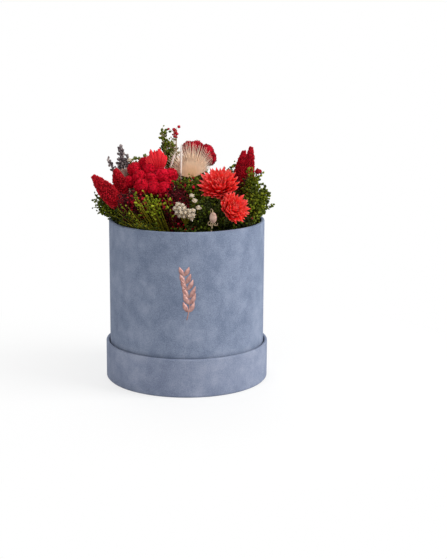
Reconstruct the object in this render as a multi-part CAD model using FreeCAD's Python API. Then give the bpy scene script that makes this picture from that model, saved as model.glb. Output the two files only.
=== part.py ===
"""A round suede flower box that stands in its own upturned lid and holds dried flowers in dry foam.

The lid is a shallow board tray under the drum. The drum is a board tube with a suede wrap and a paper
lining. Two foam blocks fill the drum, and every stem is pushed into the upper one.
Units are millimetres, +Z is up, the origin is the centre of the lid's underside, and -Y is the front.
"""

import FreeCAD, Part
import math
import os

from FreeCAD import Vector

# Driving dimensions of the box
DRUM_DIAMETER = 150.0
RIM_HEIGHT = 156.0
LID_DIAMETER = 158.0
LID_HEIGHT = 37.0
SUEDE = 0.5
LINING = 0.25
DRUM_BOARD = 2.5
LID_BOARD = 2.0
TURN_IN = 14.0
TURN_UNDER = 9.0
EDGE_ROUND = 1.2
SEAM_GAP = 0.4

# Driving dimensions of the foam and of the stems that it holds
FOAM_DROP = 26.0
FOAM_SPLIT = 68.0
FOAM_SLACK = 0.5
FOAM_CHAMFER = 4.0
FOOT_HEIGHT = 95.0
STEM_RADIUS = 1.0
STEM_SINK = 3.0
WIRE_RADIUS = 0.6
HOLE_SLACK = 0.05
PLANT_GAP = 0.3

# Sizes that follow from the driving dimensions
DRUM_R = DRUM_DIAMETER / 2
DRUM_BOARD_OUT = DRUM_R - SUEDE
DRUM_BOARD_IN = DRUM_BOARD_OUT - DRUM_BOARD
DRUM_CLEAR_R = DRUM_BOARD_IN - SUEDE
LID_R = LID_DIAMETER / 2
LID_BOARD_OUT = LID_R - SUEDE
LID_BOARD_IN = LID_BOARD_OUT - LID_BOARD
LID_FLOOR = 2 * SUEDE + LID_BOARD + LINING
DRUM_FLOOR = LID_FLOOR + SUEDE + DRUM_BOARD + LINING
FOAM_TOP = RIM_HEIGHT - FOAM_DROP
FOAM_R = DRUM_CLEAR_R - FOAM_SLACK

UP = Vector(0, 0, 1)
ORIGIN = Vector(0, 0, 0)
GOLDEN_ANGLE = math.pi * (3 - math.sqrt(5))
TINY = 1e-6

# Red flower spikes: where the head starts, where its tip is, its widest diameter and its tiers of grains
SPIKES = {
    "spike_outer_left": ((-64, -24, 173), (-87.5, -24, 200), 18, 9),
    "spike_inner_left": ((-60.5, -10, 181), (-67.5, -10, 204.5), 14, 8),
    "spike_right_short": ((51, 21, 180), (55.4, 21, 218), 15, 9),
    "spike_right_tall": ((56, 5, 180), (61.8, 5, 223.5), 14, 10),
}

# Lavender sprigs, in the same terms
LAVENDER = {
    "lavender_left": ((-68.5, 13, 196), (-75.5, 13, 212.5), 5, 5),
    "lavender_tall": ((-62.5, 18, 197), (-63.5, 18, 223), 8, 7),
    "lavender_inner": ((-57.5, 18, 199), (-58, 18, 215), 5, 5),
}

# A spike's outline: its sideways swell, how low that sits, its taper, its thin tip, and each tier's form
SPIKE_SWELL = 0.62
SWELL_POWER = 0.6
SPIKE_TAPER = 0.5
SPIKE_TIP = 0.12
GRAIN_WAIST = 0.72
GRAIN_PEAK = 0.75

# Cockscomb heads: where the neck starts, then each lobe's centre and radius
COCKSCOMBS = {
    "cockscomb_left": (
        (-46, -8, 181),
        [(-49.7, -1, 203.4, 7.2), (-54, -8, 192.5, 6), (-42.3, -21, 190, 7.4), (-44.5, -10, 197, 7)],
    ),
    "cockscomb_centre": (
        (-33, -8, 181),
        [(-40.2, 4, 208, 6.6), (-35.1, -5, 203.3, 7), (-31, -22, 188.5, 6.8), (-33, -14, 195.5, 7.5)],
    ),
    "cockscomb_right": (
        (-20, -6, 181),
        [(-24.3, -12, 199, 8), (-14.8, -8, 199, 6.6), (-22, -22, 187.5, 7), (-20, -11, 191, 8)],
    ),
    "cockscomb_back": (
        (15, 35, 195),
        [(5, 37, 217.5, 9), (13, 41, 216.5, 8.5), (20, 34, 212, 8.5), (12.5, 31, 206, 8)],
    ),
}
NECK_RADIUS = 1.5
TRUNK_RADIUS = 5.0

# The upright ribbed comb on top of the right cockscomb, and the bleached palm leaf
COMB_BASE = (-25.5, -4, 196)
COMB_RADIUS = 27.5
COMB_HALF_ANGLE = 26.0
COMB_TILT = -11.0
COMB_RAYS = 7
COMB_WEB = 0.86
COMB_THICK = 7.0
COMB_LEAN = 0.0
PALM_BASE = (5, 7, 194)
PALM_RADIUS = 34.5
PALM_HALF_ANGLE = 62.0
PALM_TILT = 0.0
PALM_RAYS = 19
PALM_WEB = 0.62
PALM_THICK = 1.6
PALM_LEAN = 8.0
FAN_HEEL = 0.06
FAN_SIDE_LOSS = 0.25

# Both fans as base, radius, half angle, rays, web, lean and tilt
COMB_FAN = (COMB_BASE, COMB_RADIUS, COMB_HALF_ANGLE, COMB_RAYS, COMB_WEB, COMB_LEAN, COMB_TILT)
PALM_FAN = (PALM_BASE, PALM_RADIUS, PALM_HALF_ANGLE, PALM_RAYS, PALM_WEB, PALM_LEAN, PALM_TILT)

# Strawflowers: where the head meets its wire, the way it faces, and its radius
STRAWFLOWERS = {
    "strawflower_upper": ((32, -20, 184), (-0.08, -0.84, 0.54), 20),
    "strawflower_lower": ((38.5, -44, 170), (0.35, -0.85, 0.38), 17.5),
}

# Layers of bracts as shares of the flower's radius: reach, depth and number of points
BRACT_LAYERS = ((1.0, 0.55, 13), (0.66, 0.74, 9))
BRACT_FOOT = 0.28
BRACT_NOTCH = 0.8
BRACT_WALL = 1.1
DOME_RADIUS = 0.24
DOME_HEIGHT = 0.3
CALYX_HEIGHT = 0.22
CALYX_DROP = 0.05
BRACT_ROOM = 2.5
TIP_HEIGHT = 0.5
FLOWER_DEPTH = 0.8

# Sprays: where the stem forks, the middle of the tips, their spread, bud tuft radius and branch count
SPRAYS = {
    "immortelle_cluster": ((-1, -56, 158), (-2, -61, 174), (9, 3, 6), 2.8, 14),
    "broom_top": ((-14, 24, 172), (-17, 25, 222), (8, 7, 15), 2.6, 26),
    "broom_right_upper": ((60, -4, 168), (64, -12, 194), (6, 5, 11), 2.6, 14),
    "broom_right": ((46, -18, 142), (66, -18, 175), (12, 15, 15), 3.0, 36),
    "broom_edge_left": ((-48, 5, 142), (-77, -4, 171), (11, 10, 10), 2.6, 24),
    "broom_front_left": ((-12, -36, 138), (-40, -50, 171), (27, 12, 14), 2.4, 36),
    "red_broom_centre": ((-8, -36, 138), (-9, -45, 176), (14, 11, 15), 2.4, 30),
    "broom_centre": ((9, -37, 138), (13, -50, 167), (13, 12, 15), 2.4, 32),
    "red_broom_left": ((-42, -33, 146), (-52, -43, 177), (12, 8, 8), 2.4, 20),
    "broom_back_left": ((-32, 28, 140), (-44, 40, 183), (25, 19, 22), 3.0, 44),
    "broom_back_right": ((36, 30, 140), (50, 44, 179), (22, 18, 19), 3.0, 40),
    "broom_back_middle": ((2, 42, 140), (4, 58, 179), (22, 12, 18), 3.0, 36),
    "broom_heart": ((18, -2, 140), (20, 0, 163), (26, 15, 14), 2.6, 44),
    "broom_side_right": ((48, 14, 140), (60, 13, 168), (11, 12, 14), 2.8, 28),
    "broom_side_left": ((-46, 22, 140), (-58, 27, 168), (12, 12, 14), 2.8, 28),
}
KNOT_RADIUS = 1.6
TWIG_RADIUS = 0.8
BRANCH_RADIUS = 0.45
FORK_TOP = 0.78
FORK_FOOT = 0.14
RIM_SAMPLES = 24

# Round white immortelle buds on a forked stem, a seed pod and a dried funnel-shaped seed cup
IMMORTELLE_ROOT = (8, -45, 150)
IMMORTELLE_BUDS = ((4.8, -52, 186), (7.1, -55, 181.9), (10.5, -58, 176))
IMMORTELLE_BUD_R = 2.7
NIGELLA_CENTRE = (24, -60, 167)
NIGELLA_HALF_LENGTH = 6.0
NIGELLA_RADIUS = 3.6
POD_STEPS = 8
SEED_CUP_BASE = (-58, 5, 190)
SEED_CUP_TOP = (-60.3, 5, 203)
SEED_CUP_RADIUS = 4.4
SEED_CUP_NECK = 1.6
SEED_CUP_WALL = 0.8
SEED_CUP_FLOOR = 0.33


def disc(radius, bottom, top):
    """A flat round board, sheet or block between two heights."""
    return Part.makeCylinder(radius, top - bottom, Vector(0, 0, bottom))


def ring(outer, inner, bottom, top):
    """A plain round wall between two radii and two heights."""
    return disc(outer, bottom, top).cut(disc(inner, bottom, top))


def skin(outer, bottom, top, folded_in, folded_under):
    """A suede band: outside wall, a fold over the top edge, and a fold under the bottom edge.

    folded_in is the radius inside the top fold, and folded_under the radius where the lower fold ends.
    A narrow seam runs up the back.
    """
    block = disc(outer, bottom, top)
    rims = [edge for edge in block.Edges if edge.BoundBox.ZLength < TINY]
    block = block.makeFillet(EDGE_ROUND, rims)
    core = ring(outer - SUEDE, folded_in + SUEDE, bottom + SUEDE, top - SUEDE)
    well = disc(folded_in, bottom + SUEDE, top)
    below_fold = ring(folded_in + SUEDE, folded_in, bottom + SUEDE, top - TURN_IN)
    hole = disc(folded_under, bottom, bottom + SUEDE)
    seam = Part.makeBox(SEAM_GAP, outer, top, Vector(-SEAM_GAP / 2, 0, bottom))
    return block.cut([core, well, below_fold, hole, seam])


def build_lid():
    """The upturned lid: board tray, suede outside and paper inside."""
    panel_top = 2 * SUEDE + LID_BOARD
    return {
        "lid_suede_panel": disc(LID_R - EDGE_ROUND, 0, SUEDE),
        "lid_suede_band": skin(LID_R, SUEDE, LID_HEIGHT, LID_BOARD_IN - SUEDE, LID_R - TURN_UNDER),
        "lid_filler_paper": disc(LID_R - TURN_UNDER, SUEDE, 2 * SUEDE),
        "lid_panel_board": disc(LID_BOARD_IN, 2 * SUEDE, panel_top),
        "lid_rim_board": ring(LID_BOARD_OUT, LID_BOARD_IN, 2 * SUEDE, LID_HEIGHT - SUEDE),
        "lid_lining_disc": disc(LID_BOARD_IN, panel_top, LID_FLOOR),
        "lid_lining_band": ring(LID_BOARD_IN, LID_BOARD_IN - LINING, LID_FLOOR, LID_HEIGHT - TURN_IN),
    }


def build_drum():
    """The drum: board tube and base, suede wrap outside and paper lining inside."""
    board_bottom = LID_FLOOR + SUEDE
    board_top = board_bottom + DRUM_BOARD
    return {
        "drum_base_paper": disc(DRUM_R - TURN_UNDER, LID_FLOOR, board_bottom),
        "drum_suede_wrap": skin(DRUM_R, LID_FLOOR, RIM_HEIGHT, DRUM_CLEAR_R, DRUM_R - TURN_UNDER),
        "drum_base_board": disc(DRUM_BOARD_IN, board_bottom, board_top),
        "drum_wall_board": ring(DRUM_BOARD_OUT, DRUM_BOARD_IN, board_bottom, RIM_HEIGHT - SUEDE),
        "drum_lining_disc": disc(DRUM_BOARD_IN, board_top, DRUM_FLOOR),
        "drum_lining_band": ring(DRUM_BOARD_IN, DRUM_BOARD_IN - LINING, DRUM_FLOOR, RIM_HEIGHT - TURN_IN),
    }


def aim(shape, base, direction):
    """The shape, built up the Z axis at the origin, stood on base and turned to face direction."""
    turned = shape.copy()
    turned.Placement = FreeCAD.Placement(Vector(base), FreeCAD.Rotation(UP, Vector(direction)))
    return turned


def rod(start, end, start_r, end_r):
    """A straight rod between two points, tapered where its two radii differ."""
    way = Vector(end) - Vector(start)
    if start_r == end_r:
        return Part.makeCylinder(start_r, way.Length, Vector(start), way)
    return Part.makeCone(start_r, end_r, way.Length, Vector(start), way)


def ball(centre, radius, pole=UP):
    """A sphere about a point, with its poles along the given direction."""
    return aim(Part.makeSphere(radius), centre, pole)


def foot_of(top):
    """Where a stem ends in the foam: all stems fan out from the origin, so none crosses another."""
    point = Vector(top)
    return point * (FOOT_HEIGHT / point.z)


def stem(top, radius=STEM_RADIUS, sink=0.0):
    """A straight stem from its foot in the foam to the start of its head, or sunk that far into it."""
    point = Vector(top)
    end = point * (1 + sink / point.Length)
    return rod(foot_of(top), end, radius, radius)


def spun(profile):
    """A solid of revolution about Z from (radius, height) points that start and end on the axis."""
    points = [Vector(radius, 0, height) for radius, height in profile]
    outline = Part.makePolygon(points + points[:1])
    return Part.Face(outline).revolve(ORIGIN, UP, 360)


def tiered_spike(base, tip, width, tiers, grow=0.0):
    """A tapering flower spike whose grains stand out in tiers, or with grow the plain space round it."""
    way = Vector(tip) - Vector(base)
    step = way.Length / tiers
    waist = 1.0 if grow else GRAIN_WAIST
    profile = [(0, -grow)]
    for tier in range(tiers):
        share = (tier + 0.5) / tiers
        swell = SPIKE_SWELL * math.sin(math.pi * share**SWELL_POWER) + SPIKE_TAPER * (1 - share)
        radius = max(width / 2 * min(1.0, swell), width * SPIKE_TIP)
        profile.append((radius * waist + grow, tier * step - grow))
        profile.append((radius + grow, (tier + GRAIN_PEAK) * step + grow))
    profile.append((0, way.Length + grow))
    return aim(spun(profile), base, way)


def lobes_middle(lobes):
    """The middle of a cockscomb's lobes."""
    return sum((Vector(lobe[:3]) for lobe in lobes), ORIGIN) / len(lobes)


def lobed_head(neck, lobes, grow=0.0):
    """A cockscomb head: one widening neck under round lobes that run into each other."""
    middle = lobes_middle(lobes)
    trunk = rod(neck, middle, NECK_RADIUS + grow, TRUNK_RADIUS + grow)
    return trunk.multiFuse([ball(lobe[:3], lobe[3] + grow, Vector(lobe[:3]) - middle) for lobe in lobes])


def fan_points(base, radius, half_angle, rays, web, lean, tilt):
    """The rim of an upright fan, tilted sideways: ray tips in turn with the notches between them.

    The rays grow shorter towards both sides.
    """
    turn = FreeCAD.Rotation(Vector(1, 0, 0), -lean)
    points = []
    for index in range(2 * rays + 1):
        side_share = index / rays - 1
        angle = math.radians(tilt + half_angle * side_share)
        reach = radius * (1 - FAN_SIDE_LOSS * side_share**2) * (1 if index % 2 else web)
        side = Vector(reach * math.sin(angle), 0, reach * math.cos(angle))
        points.append(Vector(base) + turn.multVec(side))
    return points


def ray_fan(base, radius, half_angle, rays, web, lean, tilt, thick, grow=0.0):
    """A flat fan of pointed rays that stand free of the web past a share of the radius."""
    turn = FreeCAD.Rotation(Vector(1, 0, 0), -lean)
    heel = Vector(base) + turn.multVec(Vector(0, 0, -radius * FAN_HEEL - grow))
    corners = [heel] + fan_points(base, radius + grow, half_angle, rays, web, lean, tilt)
    half = turn.multVec(Vector(0, thick / 2 + grow, 0))
    outline = Part.makePolygon([corner - half for corner in corners + corners[:1]])
    return Part.Face(outline).extrude(half * 2)


def star(radius, points, height):
    """A flat star outline with pointed bracts."""
    corners = []
    for index in range(2 * points):
        angle = math.pi * index / points
        reach = radius if index % 2 else radius * BRACT_NOTCH
        corners.append(Vector(reach * math.cos(angle), reach * math.sin(angle), height))
    return Part.makePolygon(corners + corners[:1])


def bract_cup(radius, depth, foot_r, points):
    """One layer of bracts: a pointed cup that opens upwards."""
    outside = Part.makeLoft([star(foot_r, points, 0), star(radius, points, depth)], True, True)
    inner_foot = star(foot_r - BRACT_WALL, points, BRACT_WALL)
    inner_rim = star(radius - BRACT_WALL, points, depth + BRACT_WALL)
    return outside.cut(Part.makeLoft([inner_foot, inner_rim], True, True))


def strawflower_head(base, facing, radius):
    """Layers of pointed bracts round a domed middle, on a short calyx."""
    foot_r = radius * BRACT_FOOT
    layers = []
    for reach, depth, points in BRACT_LAYERS:
        layers.append(bract_cup(radius * reach, radius * depth, foot_r, points))
    dome = ball((0, 0, radius * DOME_HEIGHT), radius * DOME_RADIUS)
    calyx = Part.makeCone(NECK_RADIUS, foot_r, radius * CALYX_HEIGHT, Vector(0, 0, -radius * CALYX_DROP))
    return aim(layers[0].multiFuse(layers[1:] + [dome, calyx]), base, facing)


def strawflower_space(base, facing, radius):
    """The space that an open strawflower fills: a cone up to the bracts' tips, and straight above."""
    foot = -radius * CALYX_DROP - PLANT_GAP
    wide = radius + PLANT_GAP
    full = radius * FLOWER_DEPTH
    below = [(0, foot), (radius * BRACT_FOOT + PLANT_GAP, foot), (wide, radius * TIP_HEIGHT)]
    return aim(spun(below + [(wide, full), (0, full)]), base, facing)


def pod(centre, half_length, radius):
    """An upright egg-shaped seed pod about a point."""
    profile = [(0, -half_length)]
    for index in range(1, POD_STEPS):
        angle = math.pi * (index / POD_STEPS - 0.5)
        profile.append((radius * math.cos(angle), half_length * math.sin(angle)))
    profile.append((0, half_length))
    return aim(spun(profile), centre, UP)


def seed_cup(grow):
    """A dried funnel-shaped seed cup, open at the top."""
    way = Vector(SEED_CUP_TOP) - Vector(SEED_CUP_BASE)
    mouth = way.Length + grow
    lip = SEED_CUP_RADIUS + grow
    outside = [(0, -grow), (SEED_CUP_NECK + grow, -grow), (lip, mouth)]
    inside = [(lip - SEED_CUP_WALL, mouth), (0, mouth * SEED_CUP_FLOOR)]
    return aim(spun(outside + inside), SEED_CUP_BASE, way)


def largest(shape):
    """The main solid of a shape that a cut may have split."""
    return max(shape.Solids, key=lambda solid: solid.Volume)


def trimmed(shape, keep_outs):
    """The shape cut back from its neighbours."""
    near = [other for other in keep_outs if shape.BoundBox.intersect(other.BoundBox)]
    return largest(shape.cut(near)) if near else shape


def head_bases():
    """Where the stem of each flower with one head ends."""
    bases = {name: values[0] for name, values in {**SPIKES, **LAVENDER, **COCKSCOMBS}.items()}
    bases["palm_fan"] = PALM_BASE
    bases["seed_cup"] = SEED_CUP_BASE
    bases["nigella_bud"] = NIGELLA_CENTRE
    return bases


def flower_heads(grow=0.0):
    """Each single flower's head without its stem, or with grow the space that it needs."""
    heads = {name: tiered_spike(*values, grow) for name, values in SPIKES.items()}
    for name, (neck, lobes) in COCKSCOMBS.items():
        heads[name] = lobed_head(neck, lobes, grow)
    heads["cockscomb_right"] = heads["cockscomb_right"].fuse(ray_fan(*COMB_FAN, COMB_THICK, grow))
    heads["palm_fan"] = ray_fan(*PALM_FAN, PALM_THICK, grow)
    heads["nigella_bud"] = pod(NIGELLA_CENTRE, NIGELLA_HALF_LENGTH + grow, NIGELLA_RADIUS + grow)
    heads["seed_cup"] = seed_cup(grow)
    for name, values in LAVENDER.items():
        heads[name] = tiered_spike(*values, grow)
    return heads


def stem_ends():
    """Every stem's upper end and radius, by flower."""
    ends = {name: (top, STEM_RADIUS) for name, top in head_bases().items()}
    for name, values in STRAWFLOWERS.items():
        ends[name] = (values[0], WIRE_RADIUS)
    for name, values in SPRAYS.items():
        ends[name] = (values[0], STEM_RADIUS)
    ends["immortelle_buds"] = (IMMORTELLE_ROOT, STEM_RADIUS)
    return ends


def build_single_flowers():
    """The flowers with one head on one stem, each head cut back from the stems and heads before it."""
    spaces = {name: stem(top, radius + PLANT_GAP) for name, (top, radius) in stem_ends().items()}
    taken = [ring(DRUM_R + PLANT_GAP, DRUM_CLEAR_R - PLANT_GAP, 0, RIM_HEIGHT + PLANT_GAP)]
    nodes = {}
    for name, (base, facing, radius) in STRAWFLOWERS.items():
        others = [space for owner, space in spaces.items() if owner != name]
        wire = stem(base, WIRE_RADIUS)
        head = trimmed(strawflower_head(base, facing, radius), others + taken)
        nodes[name + "_head"] = largest(head.cut(wire))
        nodes[name + "_wire"] = wire
        taken.append(strawflower_space(base, facing, radius))
    grown = flower_heads(PLANT_GAP)
    for name, head in flower_heads().items():
        others = [space for owner, space in spaces.items() if owner != name]
        nodes[name] = largest(trimmed(head, others + taken).fuse(stem(head_bases()[name], sink=STEM_SINK)))
        taken.append(grown[name])
    return nodes


def held_share(value):
    """The value kept between nought and one."""
    return max(0.0, min(1.0, value))


def rod_gap(first, second):
    """The clear distance between two round-ended rods, each given as start, end and radius."""
    start_a, end_a, radius_a = first
    start_b, end_b, radius_b = second
    way_a = end_a - start_a
    way_b = end_b - start_b
    between = start_a - start_b
    length_a = max(way_a.dot(way_a), TINY)
    length_b = max(way_b.dot(way_b), TINY)
    across = way_a.dot(way_b)
    along_a = way_a.dot(between)
    along_b = way_b.dot(between)
    spread = max(length_a * length_b - across * across, TINY)
    share_a = held_share((across * along_b - along_a * length_b) / spread)
    share_b = held_share((across * share_a + along_b) / length_b)
    share_a = held_share((across * share_b - along_a) / length_a)
    apart = (start_a + way_a * share_a) - (start_b + way_b * share_b)
    return apart.Length - radius_a - radius_b


def clears_rim(start, end, radius):
    """True where a rod keeps its gap to the drum's wall."""
    for sample in range(RIM_SAMPLES + 1):
        point = start + (end - start) * (sample / RIM_SAMPLES)
        off_axis = math.hypot(point.x, point.y)
        above = point.z - radius > RIM_HEIGHT + PLANT_GAP
        within = off_axis + radius < DRUM_CLEAR_R - PLANT_GAP
        outside = off_axis - radius > DRUM_R + PLANT_GAP
        if not (above or within or outside):
            return False
    return True


def single_rods():
    """Stems and heads as round-ended rods, by flower, for the sprays to keep clear of."""
    rods = {name: [(foot_of(top), Vector(top), radius)] for name, (top, radius) in stem_ends().items()}
    for name, (base, tip, width, _) in {**SPIKES, **LAVENDER}.items():
        rods[name].append((Vector(base), Vector(tip), width / 2))
    for name, (neck, lobes) in COCKSCOMBS.items():
        rods[name].append((Vector(neck), lobes_middle(lobes), TRUNK_RADIUS))
        rods[name] += [(Vector(lobe[:3]), Vector(lobe[:3]), lobe[3]) for lobe in lobes]
    comb_rim = fan_points(*COMB_FAN)
    rods["cockscomb_right"] += [(Vector(COMB_BASE), point, COMB_THICK / 2) for point in comb_rim]
    palm_rim = fan_points(*PALM_FAN)
    rods["palm_fan"] += [(Vector(PALM_BASE), point, PALM_THICK) for point in palm_rim]
    rods["nigella_bud"].append((Vector(NIGELLA_CENTRE), Vector(NIGELLA_CENTRE), NIGELLA_HALF_LENGTH))
    rods["seed_cup"].append((Vector(SEED_CUP_BASE), Vector(SEED_CUP_TOP), SEED_CUP_RADIUS))
    for name, (base, facing, radius) in STRAWFLOWERS.items():
        for reach, depth, points in BRACT_LAYERS:
            cup = aim(star(radius * reach, points, radius * depth), base, facing)
            rods[name] += [(Vector(base), corner.Point, BRACT_ROOM) for corner in cup.Vertexes]
    return rods


def spray_tips(middle, spread, count):
    """Bud places spread evenly over an egg-shaped tuft, from its top down."""
    tips = []
    for index in range(count):
        level = 1 - 2 * (index + 0.5) / count
        round_r = math.sqrt(1 - level * level)
        angle = index * GOLDEN_ANGLE
        x = spread[0] * round_r * math.cos(angle)
        y = spread[1] * round_r * math.sin(angle)
        tips.append(Vector(middle) + Vector(x, y, spread[2] * level))
    return tips


def spray_plans():
    """For each spray: its root, its twig's end with the top bud, its other bud places and its bud radius."""
    buds = [Vector(bud) for bud in IMMORTELLE_BUDS]
    plans = {"immortelle_buds": (Vector(IMMORTELLE_ROOT), buds[0], buds[1:], IMMORTELLE_BUD_R)}
    for name, (root, middle, spread, bud_r, count) in SPRAYS.items():
        tips = spray_tips(middle, spread, count)
        plans[name] = (Vector(root), tips[0], tips[1:], bud_r)
    return plans


def stalk(start, tip, radius, bud_r):
    """A thin rod with a round bud on its end, in one piece."""
    way = tip - start
    neck = way.Length - math.sqrt(bud_r * bud_r - radius * radius)
    corners = [Vector(0, 0, 0), Vector(radius, 0, 0), Vector(radius, 0, neck)]
    side = Vector(bud_r, 0, way.Length)
    top = Vector(0, 0, way.Length + bud_r)
    outline = [Part.makeLine(first, second) for first, second in zip(corners, corners[1:])]
    outline.append(Part.Arc(corners[-1], side, top).toShape())
    outline.append(Part.makeLine(top, corners[0]))
    return aim(Part.Face(Part.Wire(outline)).revolve(ORIGIN, UP, 360), start, way)


def build_sprays():
    """The sprays: a twig whose branches end in buds, without those that would meet another piece."""
    plans = spray_plans()
    rods = single_rods()
    for name, (root, twig_end, _, bud_r) in plans.items():
        rods[name] += [(root, twig_end, TWIG_RADIUS), (twig_end, twig_end, bud_r)]
    nodes = {}
    for name, (root, twig_end, tips, bud_r) in plans.items():
        others = [other for owner, group in rods.items() if owner != name for other in group]
        buds = [rods[name][-1]]
        pieces = [ball(root, KNOT_RADIUS), stalk(root, twig_end, TWIG_RADIUS, bud_r)]
        for index, tip in enumerate(tips):
            share = FORK_TOP + (FORK_FOOT - FORK_TOP) * index / len(tips)
            fork = root + (twig_end - root) * share
            branch = (fork, tip, BRANCH_RADIUS)
            bud = (tip, tip, bud_r)
            if not (clears_rim(*branch) and clears_rim(*bud)):
                continue
            gaps = [rod_gap(part, other) for part in (branch, bud) for other in others]
            gaps += [rod_gap(part, other) for part in (branch, bud) for other in buds]
            if min(gaps) > PLANT_GAP:
                pieces.append(stalk(fork, tip, BRANCH_RADIUS, bud_r))
                rods[name] += [branch, bud]
                buds.append(bud)
        nodes[name] = largest(stem(root).multiFuse(pieces))
    return nodes


def build_foam():
    """Two stacked foam blocks. The upper one has a hole for every stem that ends in it."""
    upper = disc(FOAM_R, FOAM_SPLIT, FOAM_TOP)
    top_edge = [edge for edge in upper.Edges if edge.BoundBox.ZMin > FOAM_TOP - TINY]
    upper = upper.makeChamfer(FOAM_CHAMFER, top_edge)
    holes = [stem(top, radius + HOLE_SLACK) for top, radius in stem_ends().values()]
    return {"foam_lower": disc(FOAM_R, DRUM_FLOOR, FOAM_SPLIT), "foam_upper": upper.cut(holes)}


def main():
    """Builds every piece and writes one file for each."""
    box_nodes = {**build_lid(), **build_drum()}
    nodes = {**box_nodes, **build_foam(), **build_single_flowers(), **build_sprays()}
    os.makedirs("parts", exist_ok=True)
    for name, shape in nodes.items():
        print(name, len(shape.Solids), shape.isValid(), round(shape.Volume, 1))
        shape.exportStep(os.path.join("parts", name + ".step"))


main()
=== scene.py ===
"""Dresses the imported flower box: a suede hat box, dry foam and dried flowers, in a plain studio.

Lengths in the classes are millimetres and become metres when a mesh is made. +Z is up and -Y is the front.
"""

from __future__ import annotations

import logging
import math
import random
from dataclasses import dataclass
from enum import Enum
from typing import Any

import bmesh
import bpy
import numpy as np
from mathutils import Matrix
from mathutils import Vector
from mathutils import noise


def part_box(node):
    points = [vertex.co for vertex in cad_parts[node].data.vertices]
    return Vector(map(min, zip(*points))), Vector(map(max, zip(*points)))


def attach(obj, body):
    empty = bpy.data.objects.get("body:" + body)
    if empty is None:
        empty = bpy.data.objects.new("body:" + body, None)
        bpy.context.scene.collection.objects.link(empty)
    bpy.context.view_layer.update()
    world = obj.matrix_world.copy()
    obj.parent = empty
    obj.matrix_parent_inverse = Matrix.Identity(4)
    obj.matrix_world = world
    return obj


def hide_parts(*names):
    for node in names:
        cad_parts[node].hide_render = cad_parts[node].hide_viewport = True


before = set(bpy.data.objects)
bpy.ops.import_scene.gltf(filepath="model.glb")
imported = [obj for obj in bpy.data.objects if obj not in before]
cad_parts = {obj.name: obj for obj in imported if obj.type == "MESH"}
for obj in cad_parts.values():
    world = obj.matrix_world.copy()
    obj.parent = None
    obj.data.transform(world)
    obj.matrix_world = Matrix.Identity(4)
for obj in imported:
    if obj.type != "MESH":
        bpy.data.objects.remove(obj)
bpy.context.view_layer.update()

Point = tuple[float, float, float]
Ball = tuple[float, float, float, float]
Colour = tuple[int, int, int]
Stops = tuple[tuple[float, Colour], ...]
Profile = list[tuple[float, float]]
Inputs = dict[Any, Any]
Mesh = bpy.types.Mesh
Socket = bpy.types.NodeSocket

MM = 0.001
BLADE_HALF = 0.05
GLOW_DEPTH = 0.002
FOLD_SEED = 5
RIM_GAP = 1.0
ALL_BARE = 2.0
GOLDEN_ANGLE = math.pi * (3 - math.sqrt(5))
UP = Vector((0, 0, 1))
WHITE = (255, 255, 255)
LOG = logging.getLogger("flower_box")


class Body(Enum):
    """The rigid bodies that pieces ride on."""

    LID = "lid"
    DRUM = "drum"
    ARRANGEMENT = "arrangement"


class Slot(Enum):
    """The record's material slots, one given with each new piece."""

    SUEDE = "suede"
    STRAWFLOWER = "strawflower"
    COCKSCOMB = "cockscomb"
    SPIKE = "red_spike"
    LAVENDER = "lavender"
    RED_BROOM = "red_broom"
    GREEN_BROOM = "green_broom"
    IMMORTELLE = "immortelle"
    PALM = "palm"
    POD = "seed_pod"


class Shape(Enum):
    """The small shapes that are copied many times."""

    BUD = "bud"
    BEAD = "bead"
    GRAIN = "grain"
    LONG_BUD = "long_bud"
    BRACT = "bract"
    SCALE = "scale"
    RAY = "ray"
    BLADE = "blade"
    RIB = "rib"


def linear(colour: Colour) -> tuple[float, float, float, float]:
    """A colour written in screen values, as the linear values that shaders use.

    Args:
        colour: red, green and blue from 0 to 255.

    Returns:
        Linear red, green and blue, and full alpha.
    """
    shares = [value / 255 for value in colour]
    flat = [share / 12.92 if share <= 0.04045 else ((share + 0.055) / 1.055) ** 2.4 for share in shares]
    return flat[0], flat[1], flat[2], 1.0


class Nodes:
    """A node tree under construction."""

    def __init__(self, tree: bpy.types.NodeTree) -> None:
        """Works on the given tree."""
        self.tree = tree

    def node(self, kind: str, inputs: Inputs | None = None, **settings: Any) -> bpy.types.Node:
        """A new node.

        Args:
            kind: the node's type name.
            inputs: a socket to join or a plain value for each input, by name or index.
            settings: its properties by name.

        Returns:
            The node.
        """
        made = self.tree.nodes.new(kind)
        for name, value in settings.items():
            setattr(made, name, value)
        for key, value in (inputs or {}).items():
            if isinstance(value, Socket):
                self.tree.links.new(value, made.inputs[key])
            else:
                made.inputs[key].default_value = value
        return made

    def out(self, kind: str, inputs: Inputs | None = None, **settings: Any) -> Socket:
        """The first output of a new node."""
        return self.node(kind, inputs, **settings).outputs[0]

    def spread(self, value: Socket, low: float, high: float, bottom: Any, top: Any) -> Socket:
        """A value's range from low to high stretched to one from bottom to top."""
        limits = {"Value": value, "From Min": low, "From Max": high, "To Min": bottom, "To Max": top}
        return self.node("ShaderNodeMapRange", limits).outputs["Result"]


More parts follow.
